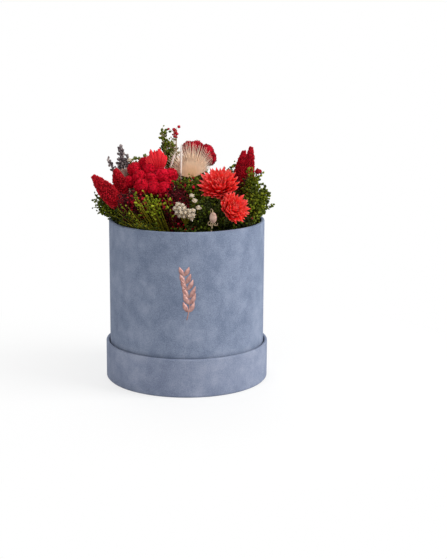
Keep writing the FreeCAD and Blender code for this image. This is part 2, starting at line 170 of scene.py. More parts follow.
class Shader(Nodes):
    """A material's nodes under construction, round one surface shader."""

    def __init__(self, name: str) -> None:
        """Starts a material.

        Args:
            name: its name.
        """
        self.material = bpy.data.materials.new(name)
        self.material.use_nodes = True
        super().__init__(self.material.node_tree)
        self.surface = self.tree.nodes["Principled BSDF"].inputs
        self.place = self.node("ShaderNodeTexCoord").outputs["Object"]

    def noise(self, scale: float, detail: float = 2.0, stretch: Point = (1, 1, 1)) -> Socket:
        """A noise over the piece's own coordinates.

        Args:
            scale: cells per metre.
            detail: octaves of finer noise.
            stretch: how much denser the noise is along each axis.

        Returns:
            The noise's value socket.
        """
        mapping = self.node("ShaderNodeMapping", {"Scale": stretch, "Vector": self.place})
        inputs = {"Scale": scale, "Detail": detail, "Vector": mapping.outputs["Vector"]}
        return self.node("ShaderNodeTexNoise", inputs).outputs["Fac"]

    def attribute(self, name: str) -> Socket:
        """The value socket of a named attribute of the mesh."""
        return self.node("ShaderNodeAttribute", attribute_name=name).outputs["Fac"]

    def ramp(self, value: Socket, stops: Stops) -> Socket:
        """Colours along a value.

        Args:
            value: the socket that picks the colour.
            stops: places from 0 to 1 with their colours.

        Returns:
            The colour socket.
        """
        made = self.node("ShaderNodeValToRGB", {"Fac": value})
        elements = made.color_ramp.elements
        while len(elements) < len(stops):
            elements.new(1.0)
        for element, (place, colour) in zip(elements, stops):
            element.position = place
            element.color = linear(colour)
        return made.outputs["Color"]

    def mix(self, share: Socket | float, first: Socket, second: Any, blend: str = "MIX") -> Socket:
        """Two colours mixed, with the second one's share."""
        inputs = {"Factor": share, "A": first, "B": second}
        return self.node("ShaderNodeMix", inputs, data_type="RGBA", blend_type=blend).outputs["Result"]

    def blend(self, first: Socket, second: Socket, share: float) -> Socket:
        """Two values averaged, with the second one's share."""
        inputs = {"Factor": share, "A": first, "B": second}
        return self.node("ShaderNodeMix", inputs, data_type="FLOAT").outputs["Result"]

    def bump(self, height: Socket, depth: float, strength: float = 1.0) -> None:
        """Raises the surface by a value, up to a depth in millimetres."""
        inputs = {"Strength": strength, "Distance": depth * MM, "Height": height}
        self.tree.links.new(self.node("ShaderNodeBump", inputs).outputs["Normal"], self.surface["Normal"])

    def colour(self, socket: Socket) -> None:
        """Makes a colour socket the surface's base colour."""
        self.tree.links.new(socket, self.surface["Base Color"])

    def roughness(self, value: Socket, smooth: float, rough: float) -> None:
        """Makes a noise the surface's roughness, between two limits."""
        self.tree.links.new(self.spread(value, 0.3, 0.7, smooth, rough), self.surface["Roughness"])

    def fix(self, **values: Any) -> None:
        """Sets plain values on the surface's own sockets; an underscore in a name stands for a space."""
        for name, value in values.items():
            self.surface[name.replace("_", " ")].default_value = value


@dataclass(frozen=True)
class Finish:
    """What all procedural finishes share."""

    def coat(self, shader: Shader) -> None:
        """Wires a material's nodes, which every finish does in its own way."""
        raise NotImplementedError

    def make(self, name: str) -> bpy.types.Material:
        """A new material.

        Args:
            name: its name.

        Returns:
            The material with this finish.
        """
        shader = Shader(name)
        self.coat(shader)
        return shader.material


@dataclass(frozen=True)
class SuedeFinish(Finish):
    """Short-pile suede cloth with brushed light and dark patches."""

    dark: Colour
    middle: Colour
    light: Colour
    patch_scale: float = 26.0
    brush_scale: float = 95.0
    nap_scale: float = 1300.0

    def coat(self, shader: Shader) -> None:
        """Wires the pile.

        Args:
            shader: the material's nodes.
        """
        patches = shader.noise(self.patch_scale, 3.0)
        brushed = shader.noise(self.brush_scale, 5.0, (1.0, 1.0, 0.85))
        nap = shader.noise(self.nap_scale, 2.0)
        value = shader.blend(shader.blend(patches, brushed, 0.5), nap, 0.4)
        shader.colour(shader.ramp(value, ((0.4, self.dark), (0.5, self.middle), (0.6, self.light))))
        shader.roughness(nap, 0.85, 1.0)
        shader.bump(shader.blend(nap, brushed, 0.4), 0.3, 0.6)
        shader.fix(Sheen_Weight=0.15, Sheen_Roughness=0.5, Sheen_Tint=linear(self.light))
        shader.fix(Specular_IOR_Level=0.1)


@dataclass(frozen=True)
class GrainFinish(Finish):
    """A dull surface with a fine speckle, such as board, paper, foam or bark."""

    dark: Colour
    light: Colour
    scale: float
    depth: float
    rough: float = 0.95

    def coat(self, shader: Shader) -> None:
        """Wires the speckle.

        Args:
            shader: the material's nodes.
        """
        coarse = shader.noise(self.scale * 0.12, 2.0)
        fine = shader.noise(self.scale, 3.0)
        value = shader.blend(coarse, fine, 0.45)
        shader.colour(shader.ramp(value, ((0.38, self.dark), (0.62, self.light))))
        shader.roughness(fine, self.rough - 0.12, self.rough)
        shader.bump(fine, self.depth)
        shader.fix(Specular_IOR_Level=0.15)


@dataclass(frozen=True)
class TintFinish(Finish):
    """Dry plant stuff whose colour differs from grain to grain, by the attribute tint."""

    stops: Stops
    speckle: float = 900.0
    smooth: float = 0.6
    rough: float = 0.9
    depth: float = 0.15
    gloss: float = 0.15

    def coat(self, shader: Shader) -> None:
        """Wires the tints and flecks.

        Args:
            shader: the material's nodes.
        """
        fleck = shader.noise(self.speckle, 2.0)
        shade = shader.ramp(fleck, ((0.3, (190, 190, 190)), (0.7, WHITE)))
        tint = shader.ramp(shader.attribute("tint"), self.stops)
        shader.colour(shader.mix(1.0, tint, shade, "MULTIPLY"))
        shader.roughness(fleck, self.smooth, self.rough)
        shader.bump(fleck, self.depth, 0.5)
        shader.fix(Specular_IOR_Level=self.gloss)


@dataclass(frozen=True)
class PetalFinish(Finish):
    """A thin dry petal: colour runs from foot to tip by the attribute along, with fine veins."""

    stops: Stops
    paler: Colour
    pale_share: float = 0.45
    smooth: float = 0.3
    rough: float = 0.55
    gloss: float = 0.4
    glow: float = 0.0

    def coat(self, shader: Shader) -> None:
        """Wires the veins and the paler petals.

        Args:
            shader: the material's nodes.
        """
        vein = shader.noise(700.0, 3.0, (1.0, 1.0, 0.35))
        streak = shader.ramp(vein, ((0.35, (244, 244, 244)), (0.65, WHITE)))
        body = shader.mix(1.0, shader.ramp(shader.attribute("along"), self.stops), streak, "MULTIPLY")
        share = shader.spread(shader.attribute("tint"), 0.5, 1.0, 0.0, self.pale_share)
        shader.colour(shader.mix(share, body, linear(self.paler)))
        shader.roughness(vein, self.smooth, self.rough)
        shader.bump(vein, 0.2, 0.5)
        shader.fix(Specular_IOR_Level=self.gloss, Subsurface_Weight=self.glow, Subsurface_Scale=GLOW_DEPTH)


@dataclass(frozen=True)
class CrestFinish(Finish):
    """A velvety crumpled crest, finely grained: by the attribute fold, its first colour is painted shade in
    its folds and its last a painted highlight on its swellings.
    """

    deep: Colour
    middle: Colour
    ridge_highlight: Colour

    def coat(self, shader: Shader) -> None:
        """Wires the folds and the grain.

        Args:
            shader: the material's nodes.
        """
        grain = shader.noise(1100.0, 2.0)
        value = shader.blend(shader.attribute("fold"), grain, 0.25)
        # Painted shade: the deep colour where fold is low, in creases and gaps; painted highlight: the last
        # colour where fold is high.
        shader.colour(shader.ramp(value, ((0.12, self.deep), (0.5, self.middle), (0.9, self.ridge_highlight))))
        shader.roughness(grain, 0.75, 0.95)
        shader.bump(grain, 0.4, 0.7)
        shader.fix(Sheen_Weight=0.1, Sheen_Roughness=0.4, Sheen_Tint=linear(self.ridge_highlight))
        shader.fix(Specular_IOR_Level=0.1)


@dataclass(frozen=True)
class FoilFinish(Finish):
    """Rubbed metal foil."""

    dark: Colour
    light: Colour

    def coat(self, shader: Shader) -> None:
        """Wires the rubbed metal.

        Args:
            shader: the material's nodes.
        """
        rub = shader.noise(420.0, 4.0)
        shader.colour(shader.ramp(rub, ((0.35, self.dark), (0.65, self.light))))
        shader.roughness(rub, 0.35, 0.6)
        shader.bump(rub, 0.05, 0.5)
        shader.fix(Metallic=0.7)


class Paint(Enum):
    """The finishes, each with its material's name."""

    SUEDE = "suede_blue_grey", SuedeFinish((104, 115, 137), (121, 132, 153), (139, 148, 168))
    # Painted light: a lighter copy of the drum's suede for the lid, standing in for light bounced up from the
    # floor.
    LID_SUEDE = "suede_lid_cloth", SuedeFinish((112, 121, 143), (129, 138, 159), (146, 153, 172))
    BOARD = "grey_board", GrainFinish((120, 116, 108), (158, 152, 142), 900.0, 0.15)
    LINING = "lining_paper", GrainFinish((164, 166, 184), (192, 194, 208), 1400.0, 0.05)
    PAPER = "base_paper", GrainFinish((84, 90, 104), (104, 110, 124), 1200.0, 0.05)
    FOAM = "dry_foam", GrainFinish((36, 40, 24), (70, 76, 48), 700.0, 0.6)
    WIRE = "wrapped_wire", GrainFinish((52, 58, 30), (86, 92, 48), 1500.0, 0.1, 0.7)
    FOIL = "rose_foil", FoilFinish((160, 116, 110), (196, 154, 146))
    CREST = "crest_red", CrestFinish((84, 0, 8), (180, 0, 26), (206, 16, 44))
    CREST_GRAIN = (
        "crest_grains",
        TintFinish(((0.0, (152, 0, 20)), (0.7, (192, 4, 34)), (1.0, (222, 56, 78)))),
    )
    COMB = "comb_red", CrestFinish((128, 0, 14), (206, 16, 34), (234, 54, 62))
    DEEP_CREST = "crest_deep_red", CrestFinish((52, 0, 6), (138, 2, 22), (184, 16, 40))
    DEEP_CREST_GRAIN = (
        "crest_deep_grains",
        TintFinish(((0.0, (110, 2, 16)), (0.7, (170, 6, 30)), (1.0, (206, 40, 60)))),
    )
    SPIKE = "spike_red", TintFinish(((0.0, (138, 0, 14)), (0.5, (188, 4, 26)), (1.0, (216, 26, 46))))
    DEEP_SPIKE = (
        "spike_deep_red",
        TintFinish(((0.0, (136, 0, 18)), (0.5, (194, 2, 30)), (1.0, (222, 20, 46)))),
    )
    BRACT = (
        "strawflower_coral",
        PetalFinish(
            # Painted shade and painted highlight: the colour darkens towards each bract's foot, where the
            # bracts overlap, and lightens towards its tip.
            ((0.0, (214, 2, 20)), (0.3, (255, 22, 34)), (0.7, (255, 42, 46)), (1.0, (255, 78, 74))),
            (255, 100, 94),
            gloss=0.55,
            glow=0.35,
        ),
    )
    PALM = (
        "palm_bleached",
        PetalFinish(
            (
                (0.0, (232, 180, 128)),
                (0.35, (250, 206, 166)),
                (0.75, (253, 222, 194)),
                (1.0, (253, 232, 210)),
            ),
            (253, 232, 210),
            smooth=0.5,
            rough=0.75,
            gloss=0.2,
        ),
    )
    PALE_RAY = (
        "palm_pale",
        PetalFinish(
            ((0.0, (244, 214, 192)), (0.5, (253, 236, 222)), (1.0, (253, 240, 230))),
            (253, 242, 234),
            gloss=0.2,
        ),
    )
    GREEN_LEAF = "broom_green", TintFinish(((0.0, (46, 52, 2)), (0.5, (88, 102, 12)), (1.0, (136, 146, 30))))
    # Painted shade: darker copies of the green leaf for the tufts low and deep inside the sprays, the shade
    # copy darkest.
    DARK_LEAF = "broom_dark", TintFinish(((0.0, (26, 32, 2)), (0.6, (54, 66, 6)), (1.0, (96, 110, 18))))
    SHADE_LEAF = "broom_shade", TintFinish(((0.0, (14, 18, 2)), (0.6, (30, 36, 4)), (1.0, (58, 66, 10))))
    LIME_BUD = "broom_lime", TintFinish(((0.0, (84, 100, 4)), (0.5, (130, 146, 14)), (1.0, (184, 194, 50))))
    RED_BUD = (
        "broom_red",
        TintFinish(((0.0, (40, 2, 8)), (0.6, (84, 2, 14)), (0.9, (130, 4, 24)), (1.0, (190, 14, 40)))),
    )
    BRIGHT_BUD = "berry_red", TintFinish(((0.0, (136, 2, 20)), (0.6, (190, 10, 36)), (1.0, (222, 40, 66))))
    OLIVE_TWIG = "twig_olive", GrainFinish((88, 84, 6), (146, 138, 30), 500.0, 0.1, 0.8)
    DARK_TWIG = "twig_dark", GrainFinish((32, 30, 8), (66, 66, 22), 500.0, 0.1, 0.8)
    RED_TWIG = "twig_red", GrainFinish((44, 4, 6), (88, 18, 16), 500.0, 0.1, 0.8)
    PALE_TWIG = "twig_pale", GrainFinish((152, 130, 96), (212, 186, 152), 500.0, 0.1, 0.8)
    IMMORTELLE = (
        "immortelle_white",
        PetalFinish(
            # Painted shade: the brown towards each scale's foot, where the scales overlap.
            ((0.0, (128, 94, 60)), (0.35, (198, 172, 138)), (0.75, (246, 236, 218)), (1.0, (228, 208, 178))),
            (252, 250, 242),
            smooth=0.6,
            rough=0.85,
            gloss=0.2,
        ),
    )
    GREEN_BALL = (
        "ball_green",
        PetalFinish(
            ((0.0, (60, 76, 16)), (0.6, (98, 118, 40)), (1.0, (150, 150, 90))),
            (170, 168, 120),
            gloss=0.2,
        ),
    )
    LAVENDER = (
        "lavender_grey",
        TintFinish(((0.0, (88, 76, 80)), (0.5, (138, 124, 126)), (1.0, (200, 188, 184))), rough=0.95),
    )
    POD = "seed_pod", GrainFinish((134, 104, 94), (196, 166, 150), 420.0, 0.2, 0.85)

    def __init__(self, label: str, finish: Finish) -> None:
        """Takes the material's name and its finish from the table above."""
        self.label = label
        self.finish = finish


PLANTED_INPUTS = {"Shape": "Object", "Material": "Material", "Seed": "Int", "Jitter": "Float"}


def added(name: str, data: Any) -> bpy.types.Object:
    """A new object in the scene.

    Args:
        name: its name.
        data: the mesh, lamp or camera that it shows.

    Returns:
        The object.
    """
    made = bpy.data.objects.new(name, data)
    bpy.context.scene.collection.objects.link(made)
    return made


class Growth(Nodes):
    """A geometry node tree under construction, with named inputs."""

    def __init__(self, name: str, inputs: dict[str, str]) -> None:
        """Starts a tree.

        Args:
            name: the tree's name.
            inputs: each input's name and socket kind.
        """
        super().__init__(bpy.data.node_groups.new(name, "GeometryNodeTree"))
        sockets = self.tree.interface
        sockets.new_socket("Geometry", in_out="INPUT", socket_type="NodeSocketGeometry")
        for label, kind in (PLANTED_INPUTS | inputs).items():
            sockets.new_socket(label, in_out="INPUT", socket_type="NodeSocket" + kind)
        sockets.new_socket("Geometry", in_out="OUTPUT", socket_type="NodeSocketGeometry")
        self.start = self.tree.nodes.new("NodeGroupInput").outputs
        self.end = self.tree.nodes.new("NodeGroupOutput").inputs

    def math(self, operation: str, first: Any, second: Any = 0.0) -> Socket:
        """The value of a sum on one or two values."""
        return self.out("ShaderNodeMath", {0: first, 1: second}, operation=operation)

    def vector(self, operation: str, first: Any, second: Any) -> Socket:
        """The value of a sum on two vectors."""
        return self.out("ShaderNodeVectorMath", {0: first, 1: second}, operation=operation)

    def between(self, share: Socket, low: Any, high: Any) -> Socket:
        """A value that runs from low to high along a share."""
        return self.spread(share, 0.0, 1.0, low, high)

    def attribute(self, name: str, kind: str = "FLOAT") -> Socket:
        """The value of a named attribute."""
        return self.out("GeometryNodeInputNamedAttribute", {"Name": name}, data_type=kind)

    def store(self, geometry: Socket, name: str, value: Socket, kind: str, domain: str = "POINT") -> Socket:
        """The geometry with a value kept under a name."""
        inputs = {"Geometry": geometry, "Name": name, "Value": value}
        return self.out("GeometryNodeStoreNamedAttribute", inputs, data_type=kind, domain=domain)

    def seed(self, offset: int) -> Socket:
        """The input Seed with an offset that sets one use apart from the others."""
        return self.math("ADD", self.start["Seed"], float(offset))

    def chance(self, low: Any, high: Any, offset: int) -> Socket:
        """A random value for each element, from the input Seed and an offset."""
        limits = {2: low, 3: high, "Seed": self.seed(offset)}
        return self.node("FunctionNodeRandomValue", limits, data_type="FLOAT").outputs[1]

    def chance_vector(self, offset: int) -> Socket:
        """A random vector for each element, each part from -1 to 1."""
        limits = {0: (-1.0, -1.0, -1.0), 1: (1.0, 1.0, 1.0), "Seed": self.seed(offset)}
        return self.out("FunctionNodeRandomValue", limits, data_type="FLOAT_VECTOR")

    def varied(self, size: Socket) -> Socket:
        """A size made a little larger or smaller for each element, by the input Jitter."""
        limits = [self.math(operation, 1.0, self.start["Jitter"]) for operation in ("SUBTRACT", "ADD")]
        return self.math("MULTIPLY", size, self.chance(*limits, 2))

    def turned(self, x: Any, y: Any, z: Any) -> Socket:
        """A rotation from its angles about X, Y and Z."""
        angles = self.out("ShaderNodeCombineXYZ", {"X": x, "Y": y, "Z": z})
        return self.out("FunctionNodeEulerToRotation", {0: angles})

    def aimed(self, way: Socket) -> Socket:
        """A rotation that turns +Z to a direction."""
        return self.out("FunctionNodeAlignRotationToVector", {"Vector": way}, axis="Z")

    def row(self) -> tuple[Socket, Socket]:
        """As many points at the origin as the input Count says, and their numbers."""
        inputs = {"Count": self.start["Count"], "Offset": (0.0, 0.0, 0.0)}
        return self.out("GeometryNodeMeshLine", inputs, mode="OFFSET"), self.out("GeometryNodeInputIndex")

    def moved(self, geometry: Socket, **inputs: Socket) -> Socket:
        """The geometry moved to the input Place, and turned where a Rotation is given."""
        inputs |= {"Geometry": geometry, "Translation": self.start["Place"]}
        return self.out("GeometryNodeTransform", inputs)

    def planted(self, points: Socket, rotation: Socket, scale: Socket) -> Socket:
        """The input Shape at every point, real and painted with the input Material.

        Args:
            points: where the copies stand.
            rotation: how each is turned.
            scale: how large each is.

        Returns:
            The copies, each with its own value of the attribute tint.
        """
        shape = self.node("GeometryNodeObjectInfo", {"Object": self.start["Shape"], "As Instance": True})
        inputs = {"Instance": shape.outputs["Geometry"], "Rotation": rotation, "Scale": scale}
        copies = self.out("GeometryNodeInstanceOnPoints", {"Points": points} | inputs)
        copies = self.store(copies, "tint", self.chance(0.0, 1.0, 90), "FLOAT", "INSTANCE")
        real = self.out("GeometryNodeRealizeInstances", {"Geometry": copies})
        return self.painted(real, self.start["Material"])

    def painted(self, geometry: Socket, material: Socket) -> Socket:
        """The geometry with one material on all of it."""
        return self.out("GeometryNodeSetMaterial", {"Geometry": geometry, "Material": material})

    def finish(self, *parts: Socket) -> Growth:
        """Joins the parts into the tree's output.

        Args:
            parts: the geometry sockets.

        Returns:
            The finished tree.
        """
        joint = self.node("GeometryNodeJoinGeometry")
        for part in parts:
            self.tree.links.new(part, joint.inputs[0])
        self.tree.links.new(joint.outputs[0], self.end[0])
        return self

    def grow(self, base: Mesh, **values: Any) -> Mesh:
        """Runs the tree on a mesh.

        Args:
            base: the mesh that it starts from.
            values: the inputs by name; an underscore stands for a space.

        Returns:
            The result as a plain mesh.
        """
        holder = added("growing", base)
        modifier = holder.modifiers.new("growth", "NODES")
        modifier.node_group = self.tree
        for item in self.tree.interface.items_tree:
            label = item.name.replace(" ", "_")
            if item.in_out == "INPUT" and label in values:
                modifier[item.identifier] = values[label]
        graph = bpy.context.evaluated_depsgraph_get()
        evaluated = holder.evaluated_get(graph)
        mesh = bpy.data.meshes.new_from_object(evaluated, preserve_all_data_layers=True, depsgraph=graph)
        holder.modifiers.remove(modifier)
        bpy.data.objects.remove(holder)
        return mesh


def floats(*labels: str) -> dict[str, str]:
    """Growth inputs that are plain numbers."""
    return {label: "Float" for label in labels}


def spiral_growth() -> Growth:
    """A head whose parts sit on a rising spiral, from its foot to its tip.

    Returns:
        The rule.
    """
    sizes = floats("Height", "Foot Radius", "Tip Radius", "Bulge", "Foot Tilt", "Tip Tilt", "Closing")
    sizes |= floats("Foot Size", "Tip Size")
    tree = Growth("spiral_head", {"Count": "Int", "Place": "Vector", "Turn": "Vector"} | sizes)
    start = tree.start
    line, index = tree.row()
    share = tree.math("DIVIDE", index, start["Count"])
    angle = tree.math("MULTIPLY", index, GOLDEN_ANGLE)
    arch = tree.math("SINE", tree.math("MULTIPLY", share, math.pi))
    radius = tree.between(share, start["Foot Radius"], start["Tip Radius"])
    radius = tree.math("ADD", radius, tree.math("MULTIPLY", arch, start["Bulge"]))
    spot = {
        "X": tree.math("MULTIPLY", radius, tree.math("COSINE", angle)),
        "Y": tree.math("MULTIPLY", radius, tree.math("SINE", angle)),
        "Z": tree.math("MULTIPLY", share, start["Height"]),
    }
    places = tree.out("ShaderNodeCombineXYZ", spot)
    points = tree.out("GeometryNodeSetPosition", {"Geometry": line, "Position": places})
    wobble = tree.chance(tree.math("MULTIPLY", start["Jitter"], -1.0), start["Jitter"], 1)
    closed = tree.math("POWER", share, start["Closing"])
    tilt = tree.math("ADD", tree.between(closed, start["Foot Tilt"], start["Tip Tilt"]), wobble)
    size = tree.varied(tree.between(share, start["Foot Size"], start["Tip Size"]))
    head = tree.planted(points, tree.turned(0.0, tilt, angle), size)
    way = tree.out("FunctionNodeEulerToRotation", {0: start["Turn"]})
    return tree.finish(tree.moved(head, Rotation=way), start["Geometry"])


def twig_growth() -> Growth:
    """Round twigs along lines, as thick as the lines' attribute thick says, with buds where bare is 0.

    Returns:
        The rule.
    """
    sizes = floats("Twig Radius", "Bud Gap", "Bud Size")
    tree = Growth("budding_twigs", {"Sides": "Int", "Twig Material": "Material"} | sizes)
    start = tree.start
    curve = tree.out("GeometryNodeMeshToCurve", {0: start["Geometry"]})
    ring = {"Resolution": start["Sides"], "Radius": start["Twig Radius"]}
    profile = tree.out("GeometryNodeCurvePrimitiveCircle", ring, mode="RADIUS")
    pipe = {"Curve": curve, "Profile Curve": profile, "Scale": tree.attribute("thick"), "Fill Caps": True}
    twigs = tree.painted(tree.out("GeometryNodeCurveToMesh", pipe), start["Twig Material"])
    spaced = {"Curve": curve, "Length": start["Bud Gap"]}
    along = tree.node("GeometryNodeCurveToPoints", spaced, mode="LENGTH").outputs
    aside = tree.vector("MULTIPLY", tree.chance_vector(1), (1.2, 1.2, 0.9))
    aim = tree.vector("ADD", along["Tangent"], aside)
    points = tree.store(along["Points"], "aim", aim, "FLOAT_VECTOR")
    bare = {"Geometry": points, "Selection": tree.math("GREATER_THAN", tree.attribute("bare"), 0.5)}
    points = tree.out("GeometryNodeDeleteGeometry", bare, domain="POINT")
    way = tree.attribute("aim", "FLOAT_VECTOR")
    reach = tree.math("MULTIPLY", start["Bud Size"], 0.25)
    offset = tree.out("ShaderNodeVectorMath", {0: way, "Scale": reach}, operation="SCALE")
    points = tree.out("GeometryNodeSetPosition", {"Geometry": points, "Offset": offset})
    return tree.finish(tree.planted(points, tree.aimed(way), tree.varied(start["Bud Size"])), twigs)


def grain_growth() -> Growth:
    """A surface set with small grains that stand on it.

    Returns:
        The rule.
    """
    tree = Growth("grained_surface", floats("Density", "Grain Size"))
    start = tree.start
    spread = {"Mesh": start["Geometry"], "Density": start["Density"], "Seed": start["Seed"]}
    points = tree.node("GeometryNodeDistributePointsOnFaces", spread).outputs
    leaning = tree.vector("MULTIPLY", tree.chance_vector(1), (0.5, 0.5, 0.5))
    turn = tree.aimed(tree.vector("ADD", points["Normal"], leaning))
    grains = tree.planted(points["Points"], turn, tree.varied(start["Grain Size"]))
    return tree.finish(grains, start["Geometry"])


def ray_growth() -> Growth:
    """Rays side by side in a flat fan about the Y axis, tilted to one side and shorter towards both.

    Returns:
        The rule.
    """
    sizes = floats("Half Angle", "Tilt", "Length", "Lean", "Side Loss")
    tree = Growth("ray_fan", {"Count": "Int", "Place": "Vector"} | sizes)
    start = tree.start
    line, index = tree.row()
    side = tree.between(tree.math("DIVIDE", index, tree.math("SUBTRACT", start["Count"], 1.0)), -1.0, 1.0)
    turn = tree.math("ADD", start["Tilt"], tree.chance(-0.012, 0.012, 1))
    angle = tree.math("ADD", tree.math("MULTIPLY", side, start["Half Angle"]), turn)
    sway = tree.math("SUBTRACT", tree.chance(-0.025, 0.025, 3), start["Lean"])
    loss = tree.math("MULTIPLY", tree.math("MULTIPLY", side, side), start["Side Loss"])
    length = tree.math("MULTIPLY", start["Length"], tree.math("SUBTRACT", 1.0, loss))
    fan = tree.planted(line, tree.turned(sway, angle, 0.0), tree.varied(length))
    return tree.finish(tree.moved(fan), start["Geometry"])


def mesh_from(name: str, points: list[Any], faces: list[Any], edges: list[Any] | None = None) -> Mesh:
    """A smooth-shaded mesh.

    Args:
        name: its name.
        points: its points in millimetres.
        faces: point numbers of each face.
        edges: point numbers of each loose edge.

    Returns:
        The mesh, in metres.
    """
    mesh = bpy.data.meshes.new(name)
    mesh.from_pydata([Vector(point) * MM for point in points], edges or [], faces)
    mesh.polygons.foreach_set("use_smooth", [True] * len(mesh.polygons))
    mesh.update()
    return mesh


def set_attribute(mesh: Mesh, name: str, values: list[float]) -> None:
    """Stores a value for each point of a mesh under a name."""
    made = mesh.attributes.new(name, "FLOAT", "POINT")
    made.data.foreach_set("value", values)


def spun_points(profile: Profile, sides: int) -> tuple[list[Point], list[list[int]]]:
    """Points and faces of a turned shape about Z.

    Args:
        profile: radius and height, from the bottom up; a radius of 0 makes a pole.
        sides: points round each ring.

    Returns:
        The points and the faces.
    """
    points: list[Point] = []
    rings: list[list[int]] = []
    for radius, height in profile:
        count = sides if radius > 0 else 1
        rings.append(list(range(len(points), len(points) + count)))
        for step in range(count):
            angle = 2 * math.pi * step / sides
            points.append((radius * math.cos(angle), radius * math.sin(angle), height))
    faces: list[list[int]] = []
    for lower, upper in zip(rings, rings[1:]):
        for step in range(sides):
            after = (step + 1) % sides
            corners = [lower[step % len(lower)], lower[after % len(lower)]]
            corners += [upper[after % len(upper)], upper[step % len(upper)]]
            faces.append(list(dict.fromkeys(corners)))
    return points, faces


def tube_faces(rows: int, sides: int) -> list[list[int]]:
    """Faces round a tube of rings, closed at both ends.

    Args:
        rows: how many rings.
        sides: points in each ring.

    Returns:
        The point numbers of each face, the two ends last.
    """
    faces = []
    for row in range(rows - 1):
        for side in range(sides):
            after = (side + 1) % sides
            first = row * sides
            faces.append([first + side, first + after, first + sides + after, first + sides + side])
    faces.append(list(range(sides))[::-1])
    faces.append([(rows - 1) * sides + side for side in range(sides)])
    return faces


def placed(mesh: Mesh, base: Any, way: Any) -> Mesh:
    """Moves a mesh from the origin to its place.

    Args:
        mesh: the mesh, upright.
        base: where its origin goes, in millimetres.
        way: the direction that its +Z is turned to.

    Returns:
        The same mesh.
    """
    turn = UP.rotation_difference(Vector(way)).to_matrix().to_4x4()
    mesh.transform(Matrix.Translation(Vector(base) * MM) @ turn)
    return mesh


def turn_to(way: Any) -> Point:
    """The angles about X, Y and Z that turn +Z to a direction."""
    return tuple(UP.rotation_difference(Vector(way)).to_euler())


def bud_mesh(name: str, width: float, fullness: float, sides: int) -> Mesh:
    """A small bud one metre long, to be scaled down.

    Args:
        name: its name.
        width: its radius as a share of its length.
        fullness: how round its ends are, from 0 to 1.
        sides: points round it.

    Returns:
        The mesh.
    """
    low = width * (0.6 + 0.35 * fullness)
    high = width * (0.4 + 0.5 * fullness)
    profile = [(0.0, 0.0), (low, 0.2), (width, 0.5), (high, 0.82), (0.0, 1.0)]
    points, faces = spun_points([(radius / MM, height / MM) for radius, height in profile], sides)
    return mesh_from(name, points, faces)


def bract_mesh(name: str, width: float, curl: float, cup: float) -> Mesh:
    """A pointed bract one metre long, to be scaled down, whose inner face looks towards -X.

    Args:
        name: its name.
        width: half its width as a share of its length.
        curl: how far its tip bends towards -X.
        cup: how far its edges bend towards -X.

    Returns:
        The mesh, with the attribute along.
    """
    rows = 7
    thick = 0.02
    foot = 0.18
    thinnest = 0.006
    ring = ((1.0, 0.0), (0.5, 0.0), (0.0, 0.0), (-0.5, 0.0), (-1.0, 0.0), (-0.5, 1.0), (0.5, 1.0))
    points = []
    along = []
    for row in range(rows):
        share = row / (rows - 1)
        swell = math.sin(math.pi * min(1.0, foot + share * (1 - foot))) ** 0.8 * (1 - share**6)
        half = max(width * swell, thinnest)
        for side, back in ring:
            depth = -curl * share**2 - cup * half * side * side + back * thick
            points.append((depth / MM, half * side / MM, share / MM))
            along.append(share)
    mesh = mesh_from(name, points, tube_faces(rows, len(ring)))
    set_attribute(mesh, "along", along)
    return mesh


def ray_mesh(name: str, width: float, thinning: float) -> Mesh:
    """A folded ray of a palm leaf one metre long, to be scaled down, ending in a hair, folded towards +Y.

    Args:
        name: its name.
        width: half its width as a share of its length.
        thinning: how far along it starts to thin.

    Returns:
        The mesh, with the attribute along.
    """
    hair = 1 - thinning
    bend_from = 0.6
    bend_depth = 0.1
    rows = (
        (0.0, 0.35),
        (thinning * 0.3, 0.8),
        (thinning * 0.7, 1.0),
        (thinning, 0.8),
        (thinning + hair * 0.4, 0.4),
        (thinning + hair * 0.75, 0.2),
        (1.0, 0.05),
    )
    points = []
    along = []
    for share, swell in rows:
        bend = -bend_depth * max(0.0, share - bend_from) ** 2
        half = width * swell
        for side, depth in ((-1, 0.0), (0, 0.45), (1, 0.0), (0, 0.8)):
            points.append((half * side / MM, (half * depth + bend) / MM, share / MM))
            along.append(share)
    mesh = mesh_from(name, points, tube_faces(len(rows), 4))
    set_attribute(mesh, "along", along)
    return mesh


def rib_mesh(name: str, width: float, depth: float) -> Mesh:
    """A crest's rib one metre long, to be scaled down: thin at its foot, with a swollen end.

    Args:
        name: its name.
        width: half its greatest width as a share of its length.
        depth: half its greatest depth, front to back.

    Returns:
        The mesh, with the attribute fold, which is low in the gaps between ribs and towards the foot, for
        painted shade there.
    """
    rows = ((0.0, 0.25), (0.25, 0.5), (0.5, 0.75), (0.72, 1.0), (0.88, 0.85), (0.96, 0.5), (1.0, 0.1))
    sides = 8
    points = []
    folds = []
    for share, swell in rows:
        for side in range(sides):
            angle = 2 * math.pi * side / sides
            ridge = abs(math.sin(angle))
            across = width * swell * math.cos(angle)
            deep = depth * swell * math.sin(angle)
            points.append((across / MM, deep / MM, share / MM))
            # fold is lower towards the foot and in the gaps between ribs: painted shade where neighbouring
            # ribs meet.
            folds.append(min(1.0, 0.25 + share) * (0.35 + 0.65 * ridge))
    mesh = mesh_from(name, points, tube_faces(len(rows), sides))
    set_attribute(mesh, "fold", folds)
    return mesh


